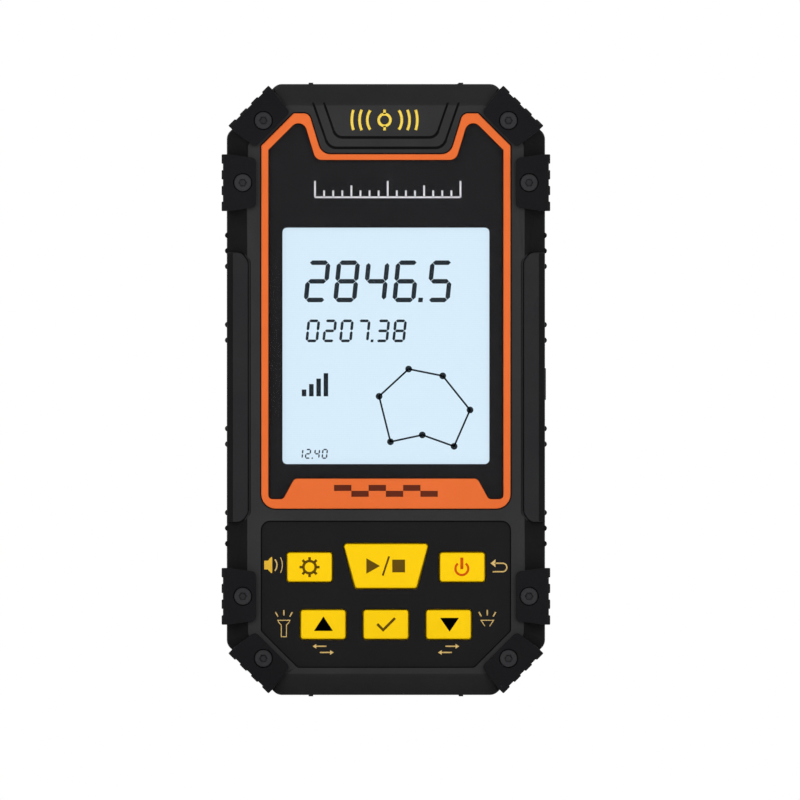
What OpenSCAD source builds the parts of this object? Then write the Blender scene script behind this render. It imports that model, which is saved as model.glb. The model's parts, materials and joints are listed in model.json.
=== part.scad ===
// Handheld satellite land area meter: two shells with bumpers at the corners and sides, a framed
// screen, a keypad of six keys, a torch in the top edge and a charging port in the right side.
// Millimetres. The meter stands upright: +X is right, +Y is back, +Z is up. Depths count from the
// front plane towards the back.

/* [Screen] */
// Width of the visible screen window
window_w = 45.5; // [42:0.5:52]
// Height of the visible screen window
window_h = 52; // [46:0.5:60]
// Dark lens border beside the window
lens_side = 3.1; // [2.8:0.1:5]
// Dark lens border above the window, up to the trim's notch
lens_top = 14.9; // [13:0.1:19]
// Dark lens border below the window, down to the trim's plate
lens_bottom = 3.2; // [2.8:0.1:5]
// Depth of the lens face below the front plane
lens_sink = 0.2; // [0.1:0.05:0.3]
// Thickness of the clear lens
lens_t = 1; // [0.8:0.1:1.1]
// Thickness of the black print layer behind the lens
mask_t = 0.15; // [0.1:0.05:0.2]
// Thickness of the adhesive tape behind the print layer
tape_t = 0.25; // [0.2:0.05:0.3]
// Width of the adhesive tape
tape_w = 1.6; // [1.2:0.1:1.8]
// How far the LCD glass reaches past the window on each side
lcd_border = 1.85; // [1.5:0.05:2.2]
// Thickness of the LCD glass
lcd_t = 1.6; // [1.2:0.1:2]
// Thickness of the backlight
backlight_t = 2.8; // [2.2:0.1:3.4]
// Wall of the LCD holder
holder_wall = 1.2; // [0.8:0.1:1.4]
// Floor of the LCD holder, between the backlight and the board
holder_floor = 3.5; // [3:0.1:4.5]
// Width of the LCD ribbon
ribbon_w = 18; // [12:1:24]
// Thickness of the LCD ribbon
ribbon_t = 0.3; // [0.2:0.05:0.4]

/* [Trim] */
// Width of the coloured band beside the screen
trim_band = 1.6; // [1.3:0.1:2]
// Width of the coloured band along the cut corners
trim_diag_band = 1.8; // [1.7:0.1:2.4]
// Height of the plate below the screen
trim_plate_h = 6.65; // [6:0.05:9]
// Dark lens border beside the plate's upper edge
trim_plate_side = 5.7; // [5:0.1:8]
// How much wider the plate is where it meets the lower band
trim_plate_spread = 4.9; // [4:0.1:7]
// Height of the lower band beside the plate
trim_foot = 2.15; // [1.5:0.05:2.6]
// Height of the horns above the notch
horn_h = 9; // [8.5:0.05:11]
// Width of a horn at the bottom of the notch
horn_w = 13.3; // [13:0.1:14.4]
// Height of the coloured band under the notch
notch_band = 1.3; // [0.9:0.05:1.5]
// Lean of the notch walls away from upright, in degrees
notch_lean = 17; // [14:1:19]
// How far the trim stands proud of the front plane
trim_proud = 0.4; // [0.2:0.1:0.8]

/* [Keypad] */
// Width of a plain key
key_w = 9.85; // [8.5:0.05:10.5]
// Height of a plain key
key_h = 6.4; // [5.6:0.1:8]
// Distance of the up and down keys from the panel's edge
row_key_edge = 13.65; // [13:0.05:14.4]
// Distance of the settings and power keys from the panel's edge
side_key_edge = 10.65; // [9.5:0.05:11]
// How much lower the settings and power keys sit than the start key
side_key_drop = 0.25; // [0:0.05:0.6]
// Height of the start key
start_h = 9.75; // [8:0.05:11]
// Width of the start key's upper edge
start_w = 18.7; // [16:0.1:20]
// Width of the start key's lower edge
start_low_w = 13.4; // [11:0.1:15]
// Gap between the lower row and the start key
row_gap = 4.8; // [4:0.1:7]
// Panel below the lower row
panel_low = 6.25; // [5.5:0.05:8]
// Panel above the start key
panel_high = 5; // [4:0.1:7]
// Gap between the panel and the trim
panel_gap = 2.7; // [2.4:0.1:5]
// Thickness of the keypad panel
panel_t = 1.2; // [0.9:0.1:1.3]
// Depth of the panel's face below the front plane
panel_sink = 0.6; // [0.4:0.1:0.7]
// How far the keys stand proud of the panel
key_proud = 1; // [0.8:0.1:1.4]
// Travel of a key
key_travel = 0.6; // [0.4:0.05:0.7]
// Gap round a key in its hole
key_gap = 0.25; // [0.2:0.05:0.35]
// Width of the flange that keeps a key behind the front wall
key_flange = 0.8; // [0.6:0.1:0.9]

/* [Case] */
// Front plane beside the trim
rim_side = 7.55; // [7.2:0.05:9]
// Front plane above the trim
rim_top = 6.4; // [6:0.1:8]
// Front plane below the keypad panel
rim_bottom = 6.05; // [5.8:0.05:8]
// Leg of the cut corners, seen from the front
corner_leg = 11.1; // [10.5:0.1:12]
// Rounding of the outline's corners
corner_r = 2.5; // [1.5:0.1:3]
// Width and depth of the sloped edge round the front and the back
edge_slope = 4.5; // [4.2:0.1:5]
// Side and end walls of the shells
wall = 2.2; // [2:0.1:2.4]
// Front wall
face_wall = 2.6; // [2.4:0.1:3]
// Back wall
back_wall = 2.6; // [2.2:0.1:3.2]
// Depth of the parting plane between the shells
split_depth = 15; // [14.8:0.1:15.6]
// Diameter of the round ribs on the sides
side_rib_d = 1.3; // [1:0.1:1.5]
// Pitch of the side ribs in a group
rib_pitch = 3.42; // [3:0.02:3.6]
// How far the side ribs stand out
side_rib_h = 0.42; // [0.3:0.02:0.5]
// Width of the square ribs on the ends
end_rib_w = 1; // [0.8:0.1:1.2]
// How far the end ribs stand out
end_rib_h = 0.3; // [0.2:0.05:0.4]
// Distance of the end ribs from the centre line
end_rib_x = 16.5; // [12:0.5:20]
// Width of the grooves in the top plate
groove_w = 0.42; // [0.4:0.01:0.7]
// Depth of the grooves in the top plate
groove_depth = 0.45; // [0.3:0.05:0.6]

/* [Bumpers] */
// Length of a bumper lug along the case edge
lug_len = 12.5; // [11:0.1:13]
// How far a lug reaches in over the front and back planes
lug_reach = 6.4; // [6:0.1:6.8]
// How much shorter a lug is at its inner end, at each side
lug_taper = 0.85; // [0.4:0.05:1.4]
// How far a lug stands out from the case edge
lug_out = 1.15; // [0.9:0.05:1.5]
// How far a lug stands proud of the front and back planes
lug_proud = 1.6; // [1.4:0.1:2]
// Pitch of the teeth on a lug's outer face
tooth_pitch = 3.46; // [3.2:0.02:3.6]
// Width of the gaps between the teeth
tooth_gap = 1.4; // [1:0.1:1.8]
// Depth of the gaps between the teeth
tooth_depth = 0.3; // [0.2:0.05:0.45]
// Height of the side lugs above and below the middle of the case
side_lug_z = 45.5; // [44:0.5:46.5]
// Distance of the screws from the case edge
screw_inset = 3.5; // [3.4:0.05:3.6]
// Diameter of a screw head
head_d = 3.8; // [3.4:0.1:4]
// Height of a screw head
head_h = 1; // [0.8:0.1:1.2]
// Diameter of a screw's shank
shank_d = 2; // [1.8:0.1:2.2]
// Diameter of the screw bosses
boss_d = 5.6; // [5:0.1:5.8]

/* [Grips] */
// Length of a grip pad
grip_len = 59.3; // [50:0.1:62]
// How much higher the grip pads sit than the middle of the case
grip_rise = 0.5; // [0:0.1:2]
// Depth of a pad's face below the front plane
grip_sink = 0.3; // [0.2:0.05:0.5]
// Width of the groove between a pad and the front plane
grip_gap = 0.5; // [0.4:0.05:0.6]
// Depth of that groove
grip_groove = 0.6; // [0.5:0.05:0.9]
// Bevel of a pad's outer edge
grip_bevel = 1.4; // [1:0.1:1.8]
// Depth of a pad's seat behind the sloped edge
grip_bed = 2.7; // [2.4:0.1:2.9]

/* [Inside] */
// Distance of the board's edge from the case outline
board_inset = 6.8; // [6.6:0.1:7.4]
// Thickness of the main board
board_t = 1.6; // [1.2:0.1:1.8]
// Room for chips between the board and the battery
chip_room = 4.6; // [4.4:0.1:5.6]
// Width of the battery
battery_w = 34; // [28:0.5:40]
// Height of the battery
battery_h = 50; // [44:0.5:54]
// Thickness of the battery
battery_t = 9; // [8:0.1:11]
// Thickness of the battery's foam pad
pad_t = 0.7; // [0.5:0.1:1]
// Side of the square antenna
antenna_w = 18; // [14:0.5:18]
// Thickness of the antenna
antenna_t = 4; // [3:0.5:5]
// Diameter of the speaker
speaker_d = 20; // [16:0.5:22]
// Thickness of the speaker
speaker_t = 4.5; // [3.5:0.1:5]
// Side of a key switch
switch_w = 6; // [5:0.1:6.2]
// Height of a key switch above the board
switch_h = 3.5; // [3.3:0.1:3.8]
// Diameter of a switch plunger
plunger_d = 3; // [2.6:0.1:3.4]
// Thickness of the keypad seal
seal_t = 0.7; // [0.5:0.1:0.9]
// Diameter of the torch lens in the top wall
torch_d = 7.4; // [6:0.1:7.6]
// Height of the torch reflector
reflector_h = 7.4; // [6:0.1:9]

/* [Port] */
// Length of the port cover
port_len = 15.4; // [13.5:0.1:15.6]
// Thickness of the port cover
port_t = 1.55; // [1.4:0.05:1.6]
// How much higher the port sits than the middle of the case
port_rise = 1.2; // [0.8:0.1:1.6]
// Diameter of the hinge pin
pin_d = 1; // [0.8:0.1:1.1]
// Length of the hinge pin
pin_len = 19; // [18:0.1:20]
// Diameter of the hinge barrel
barrel_d = 2.3; // [2:0.1:2.3]
// Width of the charging socket
socket_w = 9; // [8.6:0.1:9.4]
// Height of the charging socket above the board
socket_h = 3.2; // [3:0.1:3.4]

/* [Hidden] */
$fn = 48;
arc_steps = 6;
past = 1;
root2 = sqrt(2);

// Clearances: press fit, trim in its recess, screws in their threads, shanks, heads, pieces in a bay,
// running pieces
fit = 0.1;
trim_fit = 0.03;
screw_fit = 0.05;
shank_gap = 0.4;
head_gap = 0.35;
bay_gap = 0.2;
running_gap = 0.3;
thread_spare = 1;

// Sizes that follow from what the case frames and holds
lens_w = window_w + 2 * lens_side;
trim_w = lens_w + 2 * trim_band;
body_w = trim_w + 2 * rim_side;
notch_w = trim_w - 2 * horn_w;
trim_plate_w = lens_w - 2 * trim_plate_side;
key_pitch = trim_w / 2 - row_key_edge;
side_key_x = trim_w / 2 - side_key_edge;
panel_h = panel_low + key_h + row_gap + start_h + panel_high;
screen_h = trim_plate_h + lens_bottom + window_h + lens_top;
body_h = rim_bottom + panel_h + panel_gap + screen_h + notch_band + horn_h + rim_top;
board_depth = face_wall + lcd_t + backlight_t + holder_floor;
board_back = board_depth + board_t;
battery_depth = board_back + chip_room;
body_d = battery_depth + battery_t + pad_t + back_wall;
side_x = body_w / 2;

// Heights above the surface that the meter stands on
base_z = end_rib_h;
top_z = base_z + body_h;
mid_z = base_z + body_h / 2;
panel_z = base_z + rim_bottom;
panel_top_z = panel_z + panel_h;
trim_z = panel_top_z + panel_gap;
plate_z = trim_z + trim_plate_h;
window_z = plate_z + lens_bottom;
window_top_z = window_z + window_h;
window_mid_z = window_z + window_h / 2;
notch_in_z = window_top_z + lens_top;
notch_z = notch_in_z + notch_band;
horn_z = notch_z + horn_h;
row_z = panel_z + panel_low + key_h / 2;
start_z = panel_z + panel_low + key_h + row_gap + start_h / 2;
side_key_z = start_z - side_key_drop;

// The trim and the panel run along the cut corners, clear of the corner lugs
trim_lug_gap = 0.68;
panel_lug_gap = 1.05;
trim_leg = corner_leg - rim_side - rim_top + root2 * (lug_reach + trim_lug_gap);
panel_leg = corner_leg - rim_side - rim_bottom + root2 * (lug_reach + panel_lug_gap);
inlay_depth = lens_sink + lens_t + mask_t + tape_t;
panel_depth = panel_sink + panel_t;

// Corner radii: the trim's outline, its opening, the orange plate in that opening and the keypad panel
notch_r = 2.6;
horn_r = 1.6;
trim_cut_r = 0.4;
trim_foot_r = 3.2;
opening_r = 1.8;
opening_cut_r = 0.3;
opening_foot_r = 0.9;
plate_foot_r = 1;
plate_top_r = 1.2;
panel_top_r = 2;
panel_cut_r = 0.9;

// Keys: name, centre from the centre line, height of the centre
key_places = [
    ["settings", -side_key_x, side_key_z],
    ["start_stop", 0, start_z],
    ["power", side_key_x, side_key_z],
    ["up", -key_pitch, row_z],
    ["enter", 0, row_z],
    ["down", key_pitch, row_z]
];
start_key = 1;
key_r = 0.6;
key_top = panel_sink - key_proud;
key_float = 0.25;
flange_t = 1;
flange_depth = face_wall + key_float;
stem_d = plunger_d - 2 * fit;
switch_depth = board_depth - switch_h;
plunger_spare = 0.4;
plunger_out = key_travel + plunger_spare;
plunger_in = 2;
plunger_end = switch_depth + plunger_in;
plunger_hole_end = plunger_end + key_travel + running_gap;
seal_margin = 2;
seal_hole_gap = 0.8;

// Bumper lugs: turn about Y and centre on the case outline
corner_x = side_x - corner_leg / 2;
corner_low_z = base_z + corner_leg / 2;
corner_high_z = top_z - corner_leg / 2;
lug_places = [
    [-135, -corner_x, corner_high_z],
    [-45, corner_x, corner_high_z],
    [135, -corner_x, corner_low_z],
    [45, corner_x, corner_low_z],
    [180, -side_x, mid_z + side_lug_z],
    [180, -side_x, mid_z - side_lug_z],
    [0, side_x, mid_z + side_lug_z],
    [0, side_x, mid_z - side_lug_z]
];
lug_teeth = 4;
lug_bevel = 0.8;
lug_inner_r = 1.1;
lug_shoulder = 0.5;
head_depth = head_h - lug_proud;
hex_d = 1.8;
front_thread = 6.5;
case_thread = 5.5;
case_thread_end = split_depth - case_thread;
thread_d = shank_d + 2 * screw_fit;

// Grip pads: reach over the front plane, reach down the side, cut inner corners and their rounding,
// inner side and middle
grip_in = 0.7;
grip_end = 0.6;
grip_cut_x = 1.4;
grip_cut_z = 2;
grip_cut_r = 2;
grip_x = side_x - edge_slope - grip_in + grip_gap;
grip_z = mid_z + grip_rise;

// LCD and its holder
lcd_w = window_w + 2 * lcd_border;
lcd_z = window_z - lcd_border;
lcd_h = window_h + 2 * lcd_border;
holder_w = lcd_w + 2 * (fit + holder_wall);
holder_z = lcd_z - fit - holder_wall;
holder_h = lcd_h + 2 * (fit + holder_wall);
window_r = 1;
lcd_lip = 1;
ribbon_room = 1;
ribbon_drop = 1.6;
ribbon_sink = 0.6;
ribbon_z = holder_z - ribbon_drop;
ribbon_depth = face_wall + ribbon_sink;
lcd_socket_t = 1.5;
lcd_socket_h = 2.8;

// Board supports: distance from the centre line and height
support_d = 3.8;
support_above_holder = 4.5;
support_beside_antenna = 11;
support_beside_window = 1.2;
support_above_trim = 0.6;
support_beside_key = 0.2;
support_below_key = 0.4;
support_places = [
    [antenna_w / 2 + support_beside_antenna, holder_z + holder_h + support_above_holder],
    [window_w / 2 + support_beside_window, trim_z + support_above_trim],
    [
        key_pitch + key_w / 2 + key_flange + support_d / 2 + support_beside_key,
        row_z - key_h / 2 - support_below_key
    ]
];
board_screw_d = 1.8;
board_thread = 4.5;
board_thread_end = board_depth - board_thread;
board_thread_d = board_screw_d + 2 * screw_fit;
board_head_h = 1.3;
antenna_z = (holder_z + holder_h + top_z - board_inset) / 2;

// Grooves of the top plate: rise above the notch, distance in from its end, rounding
plate_grooves = [[1.35, 1.55, 2.4], [3.65, 3.15, 2.1]];
plate_lean = 19;

// Seal between the shells
ring_t = 1;
ring_w = 0.8;
ring_inset = 0.7;

// Small ribs on the sides: height from the middle of the case, and count in the group
side_rib_groups = [[30.5, 3], [12.55, 2], [-10.3, 2], [-30.5, 3]];

// Inside the back
battery_rise = 2.5;
battery_z = mid_z + battery_rise;
speaker_rise = 20;
speaker_z = panel_z + speaker_rise;
plug_w = 6;
plug_h = 5;
plug_t = 3;
plug_gap = 1.5;
plug_z = battery_z - battery_h / 2 - plug_h / 2 - plug_gap;
label_w = 40;
label_h = 46;
label_r = 2;
label_depth = 0.6;
slot_pitch = 2.8;
slot_len = 15;
slot_step = 2;
slot_h = 1.3;
slot_r = 0.6;
inner_back = body_d - back_wall;
bay_h = 3;
bay_wall = 1.3;
bay_r = 1;
pad_inset = 2;
lead_w = 3;
lead_t = 1.2;
lead_depth = battery_depth + battery_t / 2;
torch_behind = 5.7;
torch_depth = split_depth + torch_behind;
torch_flange = 0.8;
torch_wall = 0.9;
sleeve_root = 0.3;
torch_lens_t = 1.2;
torch_board_t = 1;
torch_r = torch_d / 2;
torch_body_r = torch_r + torch_flange;
ceiling_z = top_z - wall;
torch_stack = torch_lens_t + reflector_h;
reflector_z = ceiling_z - torch_stack;
contact_d = 1.2;
speaker_contact_x = 4;
torch_contact_x = 1.5;
torch_contact_z = reflector_z - torch_board_t - contact_d / 2;
speaker_step = 1;
magnet_d = speaker_d * 0.7;
module_x = 10;
module_drop = 8;
module_w = 12;
module_h = 16;
module_t = 2.4;
processor_w = 10;
processor_t = 1.4;
led_r = 1.6;
led_t = 0.8;
led_dome_r = 1.2;
led_tip_r = 0.8;
reflector_hole_r = 1.8;
reflector_lip = 1.2;
torch_lens_sink = 0.2;

// Charging port
port_z = mid_z + port_rise;
socket_depth = board_depth - socket_h;
socket_gap = 0.4;
socket_x = holder_w / 2 + socket_gap;
socket_wall = 0.35;
socket_back = 1;
tongue_w = 6.6;
tongue_t = 0.7;
tongue_sink = 0.8;
cover_sink = 0.1;
cover_x = side_x - cover_sink;
cover_r = 1.2;
cover_plug = 0.9;
socket_face_x = cover_x - port_t - cover_plug - running_gap;
pin_x = cover_x - barrel_d / 2 - fit;
pin_behind = 1.7;
pin_depth = board_depth + pin_behind;
pin_play = 0.12;
pin_end_wall = 1;
barrel_gap = 0.5;
swing_room = 1.7;
port_margin = 1;
port_near = socket_depth - port_margin;
port_gap = 0.15;
port_floor_gap = 0.25;
port_floor_x = cover_x - port_t - port_floor_gap;
port_block_t = 4.1;
port_block_x = side_x - port_block_t;
port_block_gap = 0.3;
tab_margin = 1;

// Place along Y of a depth behind the front plane
function y_of(depth) = depth - body_d / 2;

// Points of the arc that rounds corner b between a and c
function corner_arc(a, b, c) =
    let (
        r = b[2],
        p = [b[0], b[1]],
        to_a = [a[0], a[1]] - p,
        to_c = [c[0], c[1]] - p,
        u = to_a / norm(to_a),
        v = to_c / norm(to_c),
        half = acos(max(-1, min(1, u * v))) / 2,
        centre = p + (u + v) / norm(u + v) * r / sin(half),
        from = p + u * r / tan(half) - centre,
        to = p + v * r / tan(half) - centre,
        start = atan2(from[1], from[0]),
        sweep = (atan2(to[1], to[0]) - start + 540) % 360 - 180
    )
    [for (i = [0 : arc_steps])
        let (turn = start + sweep * i / arc_steps)
        centre + r * [cos(turn), sin(turn)]];

// Outline through corners [x, z, radius]
function rounded(corners) =
    let (n = len(corners))
    [for (i = [0 : n - 1])
        each corners[i][2] > 0
            ? corner_arc(corners[(i + n - 1) % n], corners[i], corners[(i + 1) % n])
            : [[corners[i][0], corners[i][1]]]];

// A right half outline, joined to its mirror image
function both_halves(half) =
    concat(half, [for (i = [len(half) - 1 : -1 : 0]) [-half[i][0], half[i][1], half[i][2]]]);

// Rectangle with rounded corners, by centre and size
function rounded_box(x, z, w, h, r) =
    rounded([
        [x - w / 2, z - h / 2, r],
        [x + w / 2, z - h / 2, r],
        [x + w / 2, z + h / 2, r],
        [x - w / 2, z + h / 2, r]
    ]);

// Case outline, moved in by inset
function case_outline(inset) =
    let (
        x = side_x - inset,
        low = base_z + inset,
        high = top_z - inset,
        leg = corner_leg - inset * (2 - root2)
    )
    rounded(both_halves([
        [x - leg, high, corner_r],
        [x, high - leg, corner_r],
        [x, low + leg, corner_r],
        [x - leg, low, corner_r]
    ]));

// Trim outline on the front plane
function trim_outer() =
    rounded(both_halves([
        [notch_w / 2, notch_z, notch_r],
        [notch_w / 2 + horn_h * tan(notch_lean), horn_z, horn_r],
        [trim_w / 2 - trim_leg, horn_z, trim_cut_r],
        [trim_w / 2, horn_z - trim_leg, trim_cut_r],
        [trim_w / 2, trim_z, trim_foot_r]
    ]));

// Opening of the trim, which the lens fills
function trim_inner() =
    let (
        lean = tan(notch_lean),
        diag = trim_w / 2 + horn_z - trim_leg - root2 * trim_diag_band,
        foot_x = notch_w / 2 - notch_band * lean + trim_band / cos(notch_lean),
        peak_x = (foot_x + (diag - notch_in_z) * lean) / (1 + lean)
    )
    rounded(both_halves([
        [foot_x, notch_in_z, opening_r],
        [peak_x, diag - peak_x, opening_r],
        [lens_w / 2, diag - lens_w / 2, opening_cut_r],
        [lens_w / 2, trim_z + trim_foot, opening_foot_r],
        [trim_plate_w / 2 + trim_plate_spread / 2, trim_z + trim_foot, plate_foot_r],
        [trim_plate_w / 2, plate_z, plate_top_r]
    ]));

// Outline of a grip pad on the right side with cut inner corners, grown by a gap at its inner side
function grip_outline(gap) =
    let (
        inner = grip_x - gap,
        outer = side_x + past,
        half = grip_len / 2 + min(gap, fit)
    )
    rounded([
        [inner, grip_z - half + grip_cut_z, grip_cut_r],
        [inner, grip_z + half - grip_cut_z, grip_cut_r],
        [inner + grip_cut_x, grip_z + half, grip_cut_r],
        [outer, grip_z + half, 0],
        [outer, grip_z - half, 0],
        [inner + grip_cut_x, grip_z - half, grip_cut_r]
    ]);

// Keypad panel outline
function panel_outline() =
    rounded(both_halves([
        [trim_w / 2, panel_top_z, panel_top_r],
        [trim_w / 2, panel_z + panel_leg, panel_cut_r],
        [trim_w / 2 - panel_leg, panel_z, panel_cut_r]
    ]));

// Outline of one key, grown all round
function key_outline(i, grow) =
    let (
        x = key_places[i][1],
        z = key_places[i][2],
        r = key_r + grow,
        high = z + start_h / 2 + grow,
        low = z - start_h / 2 - grow
    )
    i == start_key
        ? rounded(both_halves([[start_w / 2 + grow, high, r], [start_low_w / 2 + grow, low, r]]))
        : rounded_box(x, z, key_w + 2 * grow, key_h + 2 * grow, r);

// Trapezoid of the top plate, open at the top of the case
function plate_outline(rise, half_w, r) =
    let (lean = tan(plate_lean))
    rounded(both_halves([
        [half_w + (top_z + past - notch_z - rise) * lean, top_z + past, 0],
        [half_w, notch_z + rise, r]
    ]));

// Battery outline, grown all round
function battery_outline(grow) =
    rounded_box(0, battery_z, battery_w + 2 * grow, battery_h + 2 * grow, bay_r);

// Extrudes a front view outline between two depths
module slab(near, far) {
    translate([0, y_of(far), 0]) rotate([90, 0, 0]) linear_extrude(far - near) children();
}

// Extrudes a section of [x, depth] points between two heights
module upright(low, high) {
    translate([0, y_of(0), low]) linear_extrude(high - low) children();
}

// Extrudes a section of [depth, z] points across the centre line
module crosswise(w) {
    translate([-w / 2, y_of(0), 0]) rotate([90, 0, 90]) linear_extrude(w) children();
}

// Round bar along Y between two depths
module bar(x, z, near, far, d) {
    translate([x, y_of(far), z]) rotate([90, 0, 0]) cylinder(d = d, h = far - near);
}

// Block between two corners given as [x, depth, z]
module block(low, high) {
    translate([low[0], y_of(low[1]), low[2]]) cube(high - low);
}

// Block centred on [x, z] between two depths
module chip(x, z, w, h, near, far) {
    block([x - w / 2, near, z - h / 2], [x + w / 2, far, z + h / 2]);
}

// Moves a lug drawn with its edge at x = 0 to its place on the case
module at_lug(i) {
    translate([lug_places[i][1], 0, lug_places[i][2]]) rotate([0, lug_places[i][0], 0]) children();
}

// Solid form of the case
module case_form() {
    hull() {
        slab(edge_slope, body_d - edge_slope) polygon(case_outline(0));
        slab(0, body_d) polygon(case_outline(edge_slope));
    }
}

// Front part of the case form, moved in by inset, from a depth to past the parting plane
module front_form(inset, depth, far) {
    hull() {
        slab(depth + edge_slope, far) polygon(case_outline(inset));
        slab(depth, far) polygon(case_outline(inset + edge_slope));
    }
}

// Back part of the case form
module back_form(inset, depth, near) {
    hull() {
        slab(near, depth - edge_slope) polygon(case_outline(inset));
        slab(near, depth) polygon(case_outline(inset + edge_slope));
    }
}

// Small ribs on the sides and ends, between two depths
module edge_ribs(near, far) {
    for (side = [-1, 1]) {
        for (group = side_rib_groups) {
            for (i = [0 : group[1] - 1]) {
                z = mid_z + group[0] + (i - (group[1] - 1) / 2) * rib_pitch;
                bar(side * (side_x + side_rib_h - side_rib_d / 2), z, near, far, side_rib_d);
            }
        }
        for (z = [base_z, top_z]) {
            chip(side * end_rib_x, z, end_rib_w, 2 * end_rib_h, near, far);
        }
    }
}

// Front grip pad on the right side, or its seat when the gap is more than 0
module grip_form(gap) {
    inner = grip_x - gap;
    bed = grip_bed - side_x + edge_slope;
    end = edge_slope + grip_end;
    face = gap > 0 ? -past : grip_sink;
    outer = gap > 0 ? side_x + past : side_x;
    bevel = gap > 0 ? 0 : grip_bevel;
    intersection() {
        upright(grip_z - grip_len, grip_z + grip_len) polygon([
            [inner, face],
            [outer - bevel, face],
            [outer, face + bevel],
            [outer, end],
            [end - bed, end],
            [inner, inner + bed]
        ]);
        slab(-past, end + past) polygon(grip_outline(gap));
    }
}

// Cuts both grip seats of the front shell, and the groove beside each
module grip_seats() {
    for (side = [0, 1]) {
        mirror([side, 0, 0]) {
            grip_form(fit);
            slab(-past, grip_groove) polygon(grip_outline(grip_gap));
        }
    }
}

// Ring of the case seal, and its groove
module seal_ring() {
    slab(split_depth - ring_t / 2, split_depth + ring_t / 2) difference() {
        polygon(case_outline(ring_inset));
        polygon(case_outline(ring_inset + ring_w));
    }
}

// Groove along the edge of a top plate outline
module plate_groove(rise, half_w, r) {
    slab(-past, groove_depth) difference() {
        offset(delta = groove_w / 2) polygon(plate_outline(rise, half_w, r));
        offset(delta = -groove_w / 2) polygon(plate_outline(rise, half_w, r));
    }
}

// Moves a piece of a given length to the middle of the hinge axis
module on_hinge(length) {
    translate([pin_x, y_of(pin_depth), port_z - length / 2]) children();
}

// Moves a piece to the torch axis, at a height
module on_torch(z) {
    translate([0, y_of(torch_depth), z]) children();
}

// Draws at each of the six board supports
module at_supports() {
    for (place = support_places) {
        for (side = [-1, 1]) {
            translate([side * place[0], 0, place[1]]) children();
        }
    }
}

// Cuts of the charging port in the right wall
module port_cuts() {
    half = port_len / 2 + port_gap;
    block(
        [port_floor_x, port_near - port_gap, port_z - half],
        [side_x + past, pin_depth + swing_room, port_z + half]
    );
    on_hinge(2 * half) cylinder(d = barrel_d + barrel_gap, h = 2 * half);
    block(
        [port_block_x - past, socket_depth - socket_gap, port_z - socket_w / 2 - socket_gap],
        [side_x, board_depth + socket_gap, port_z + socket_w / 2 + socket_gap]
    );
    on_hinge(pin_len) cylinder(d = pin_d + 2 * screw_fit, h = pin_len);
}

module front_shell() color([0.2, 0.2, 0.21]) difference() {
    union() {
        difference() {
            front_form(0, 0, split_depth);
            front_form(wall, face_wall, split_depth + past);
        }
        for (i = [0 : len(lug_places) - 1]) {
            at_lug(i) bar(-screw_inset, 0, edge_slope, split_depth, boss_d);
        }
        at_supports() bar(0, 0, panel_depth, board_depth, support_d);
        block(
            [port_block_x, edge_slope, port_z - pin_len / 2 - pin_end_wall],
            [side_x - wall / 2, split_depth - ring_t, port_z + pin_len / 2 + pin_end_wall]
        );
        edge_ribs(edge_slope, split_depth);
    }
    slab(-past, inlay_depth) polygon(trim_outer());
    slab(0, face_wall + past)
        polygon(rounded_box(0, window_mid_z, lcd_w - 2 * lcd_lip, lcd_h - 2 * lcd_lip, 0));
    slab(-past, panel_depth) polygon(panel_outline());
    for (i = [0 : len(key_places) - 1]) {
        slab(0, face_wall + past) polygon(key_outline(i, key_gap));
    }
    grip_seats();
    for (groove = plate_grooves) {
        plate_groove(groove[0], notch_w / 2 - groove[1], groove[2]);
    }
    for (i = [0 : len(lug_places) - 1]) {
        at_lug(i) {
            bar(-screw_inset, 0, -past, front_thread + thread_spare, thread_d);
            bar(-screw_inset, 0, case_thread_end - thread_spare, split_depth + past, thread_d);
        }
    }
    at_supports() bar(0, 0, board_thread_end - thread_spare, board_depth + past, board_thread_d);
    seal_ring();
    port_cuts();
}

module rear_cover() color([0.19, 0.19, 0.2]) difference() {
    union() {
        difference() {
            back_form(0, body_d, split_depth);
            back_form(wall, inner_back, split_depth - past);
        }
        for (i = [0 : len(lug_places) - 1]) {
            at_lug(i) bar(-screw_inset, 0, split_depth, body_d - edge_slope, boss_d);
        }
        slab(inner_back - pad_t - bay_h, inner_back) difference() {
            polygon(battery_outline(bay_gap + bay_wall));
            polygon(battery_outline(bay_gap));
        }
        slab(inner_back - bay_h, inner_back) translate([0, speaker_z]) difference() {
            circle(d = speaker_d + 2 * (bay_gap + bay_wall));
            circle(d = speaker_d + 2 * bay_gap);
        }
        on_torch(reflector_z) cylinder(r = torch_body_r + fit + torch_wall, h = torch_stack + sleeve_root);
        edge_ribs(split_depth, body_d - edge_slope);
    }
    slab(body_d - label_depth, body_d + past) polygon(rounded_box(0, battery_z, label_w, label_h, label_r));
    for (i = [-2 : 2]) {
        slot_w = slot_len - abs(i) * slot_step;
        slab(inner_back - past, body_d + past)
            polygon(rounded_box(0, speaker_z + i * slot_pitch, slot_w, slot_h, slot_r));
    }
    mirror([0, 1, 0]) grip_seats();
    for (i = [0 : len(lug_places) - 1]) {
        at_lug(i) bar(-screw_inset, 0, split_depth - past, body_d + past, shank_d + shank_gap);
    }
    on_torch(reflector_z - past) cylinder(r = torch_body_r + fit, h = torch_stack + past);
    on_torch(ceiling_z - past) cylinder(r = torch_r + fit, h = wall + 2 * past);
    seal_ring();
}

module case_seal() color([0.1, 0.1, 0.1]) seal_ring();

module trim_bezel() color([0.86, 0.42, 0.2]) slab(-trim_proud, inlay_depth) difference() {
    offset(delta = -trim_fit) polygon(trim_outer());
    polygon(trim_inner());
}

// Outline of the lens and of the layers behind it
module lens_outline() {
    offset(delta = -fit) polygon(trim_inner());
}

module window_outline() {
    polygon(rounded_box(0, window_mid_z, window_w, window_h, window_r));
}

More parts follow.
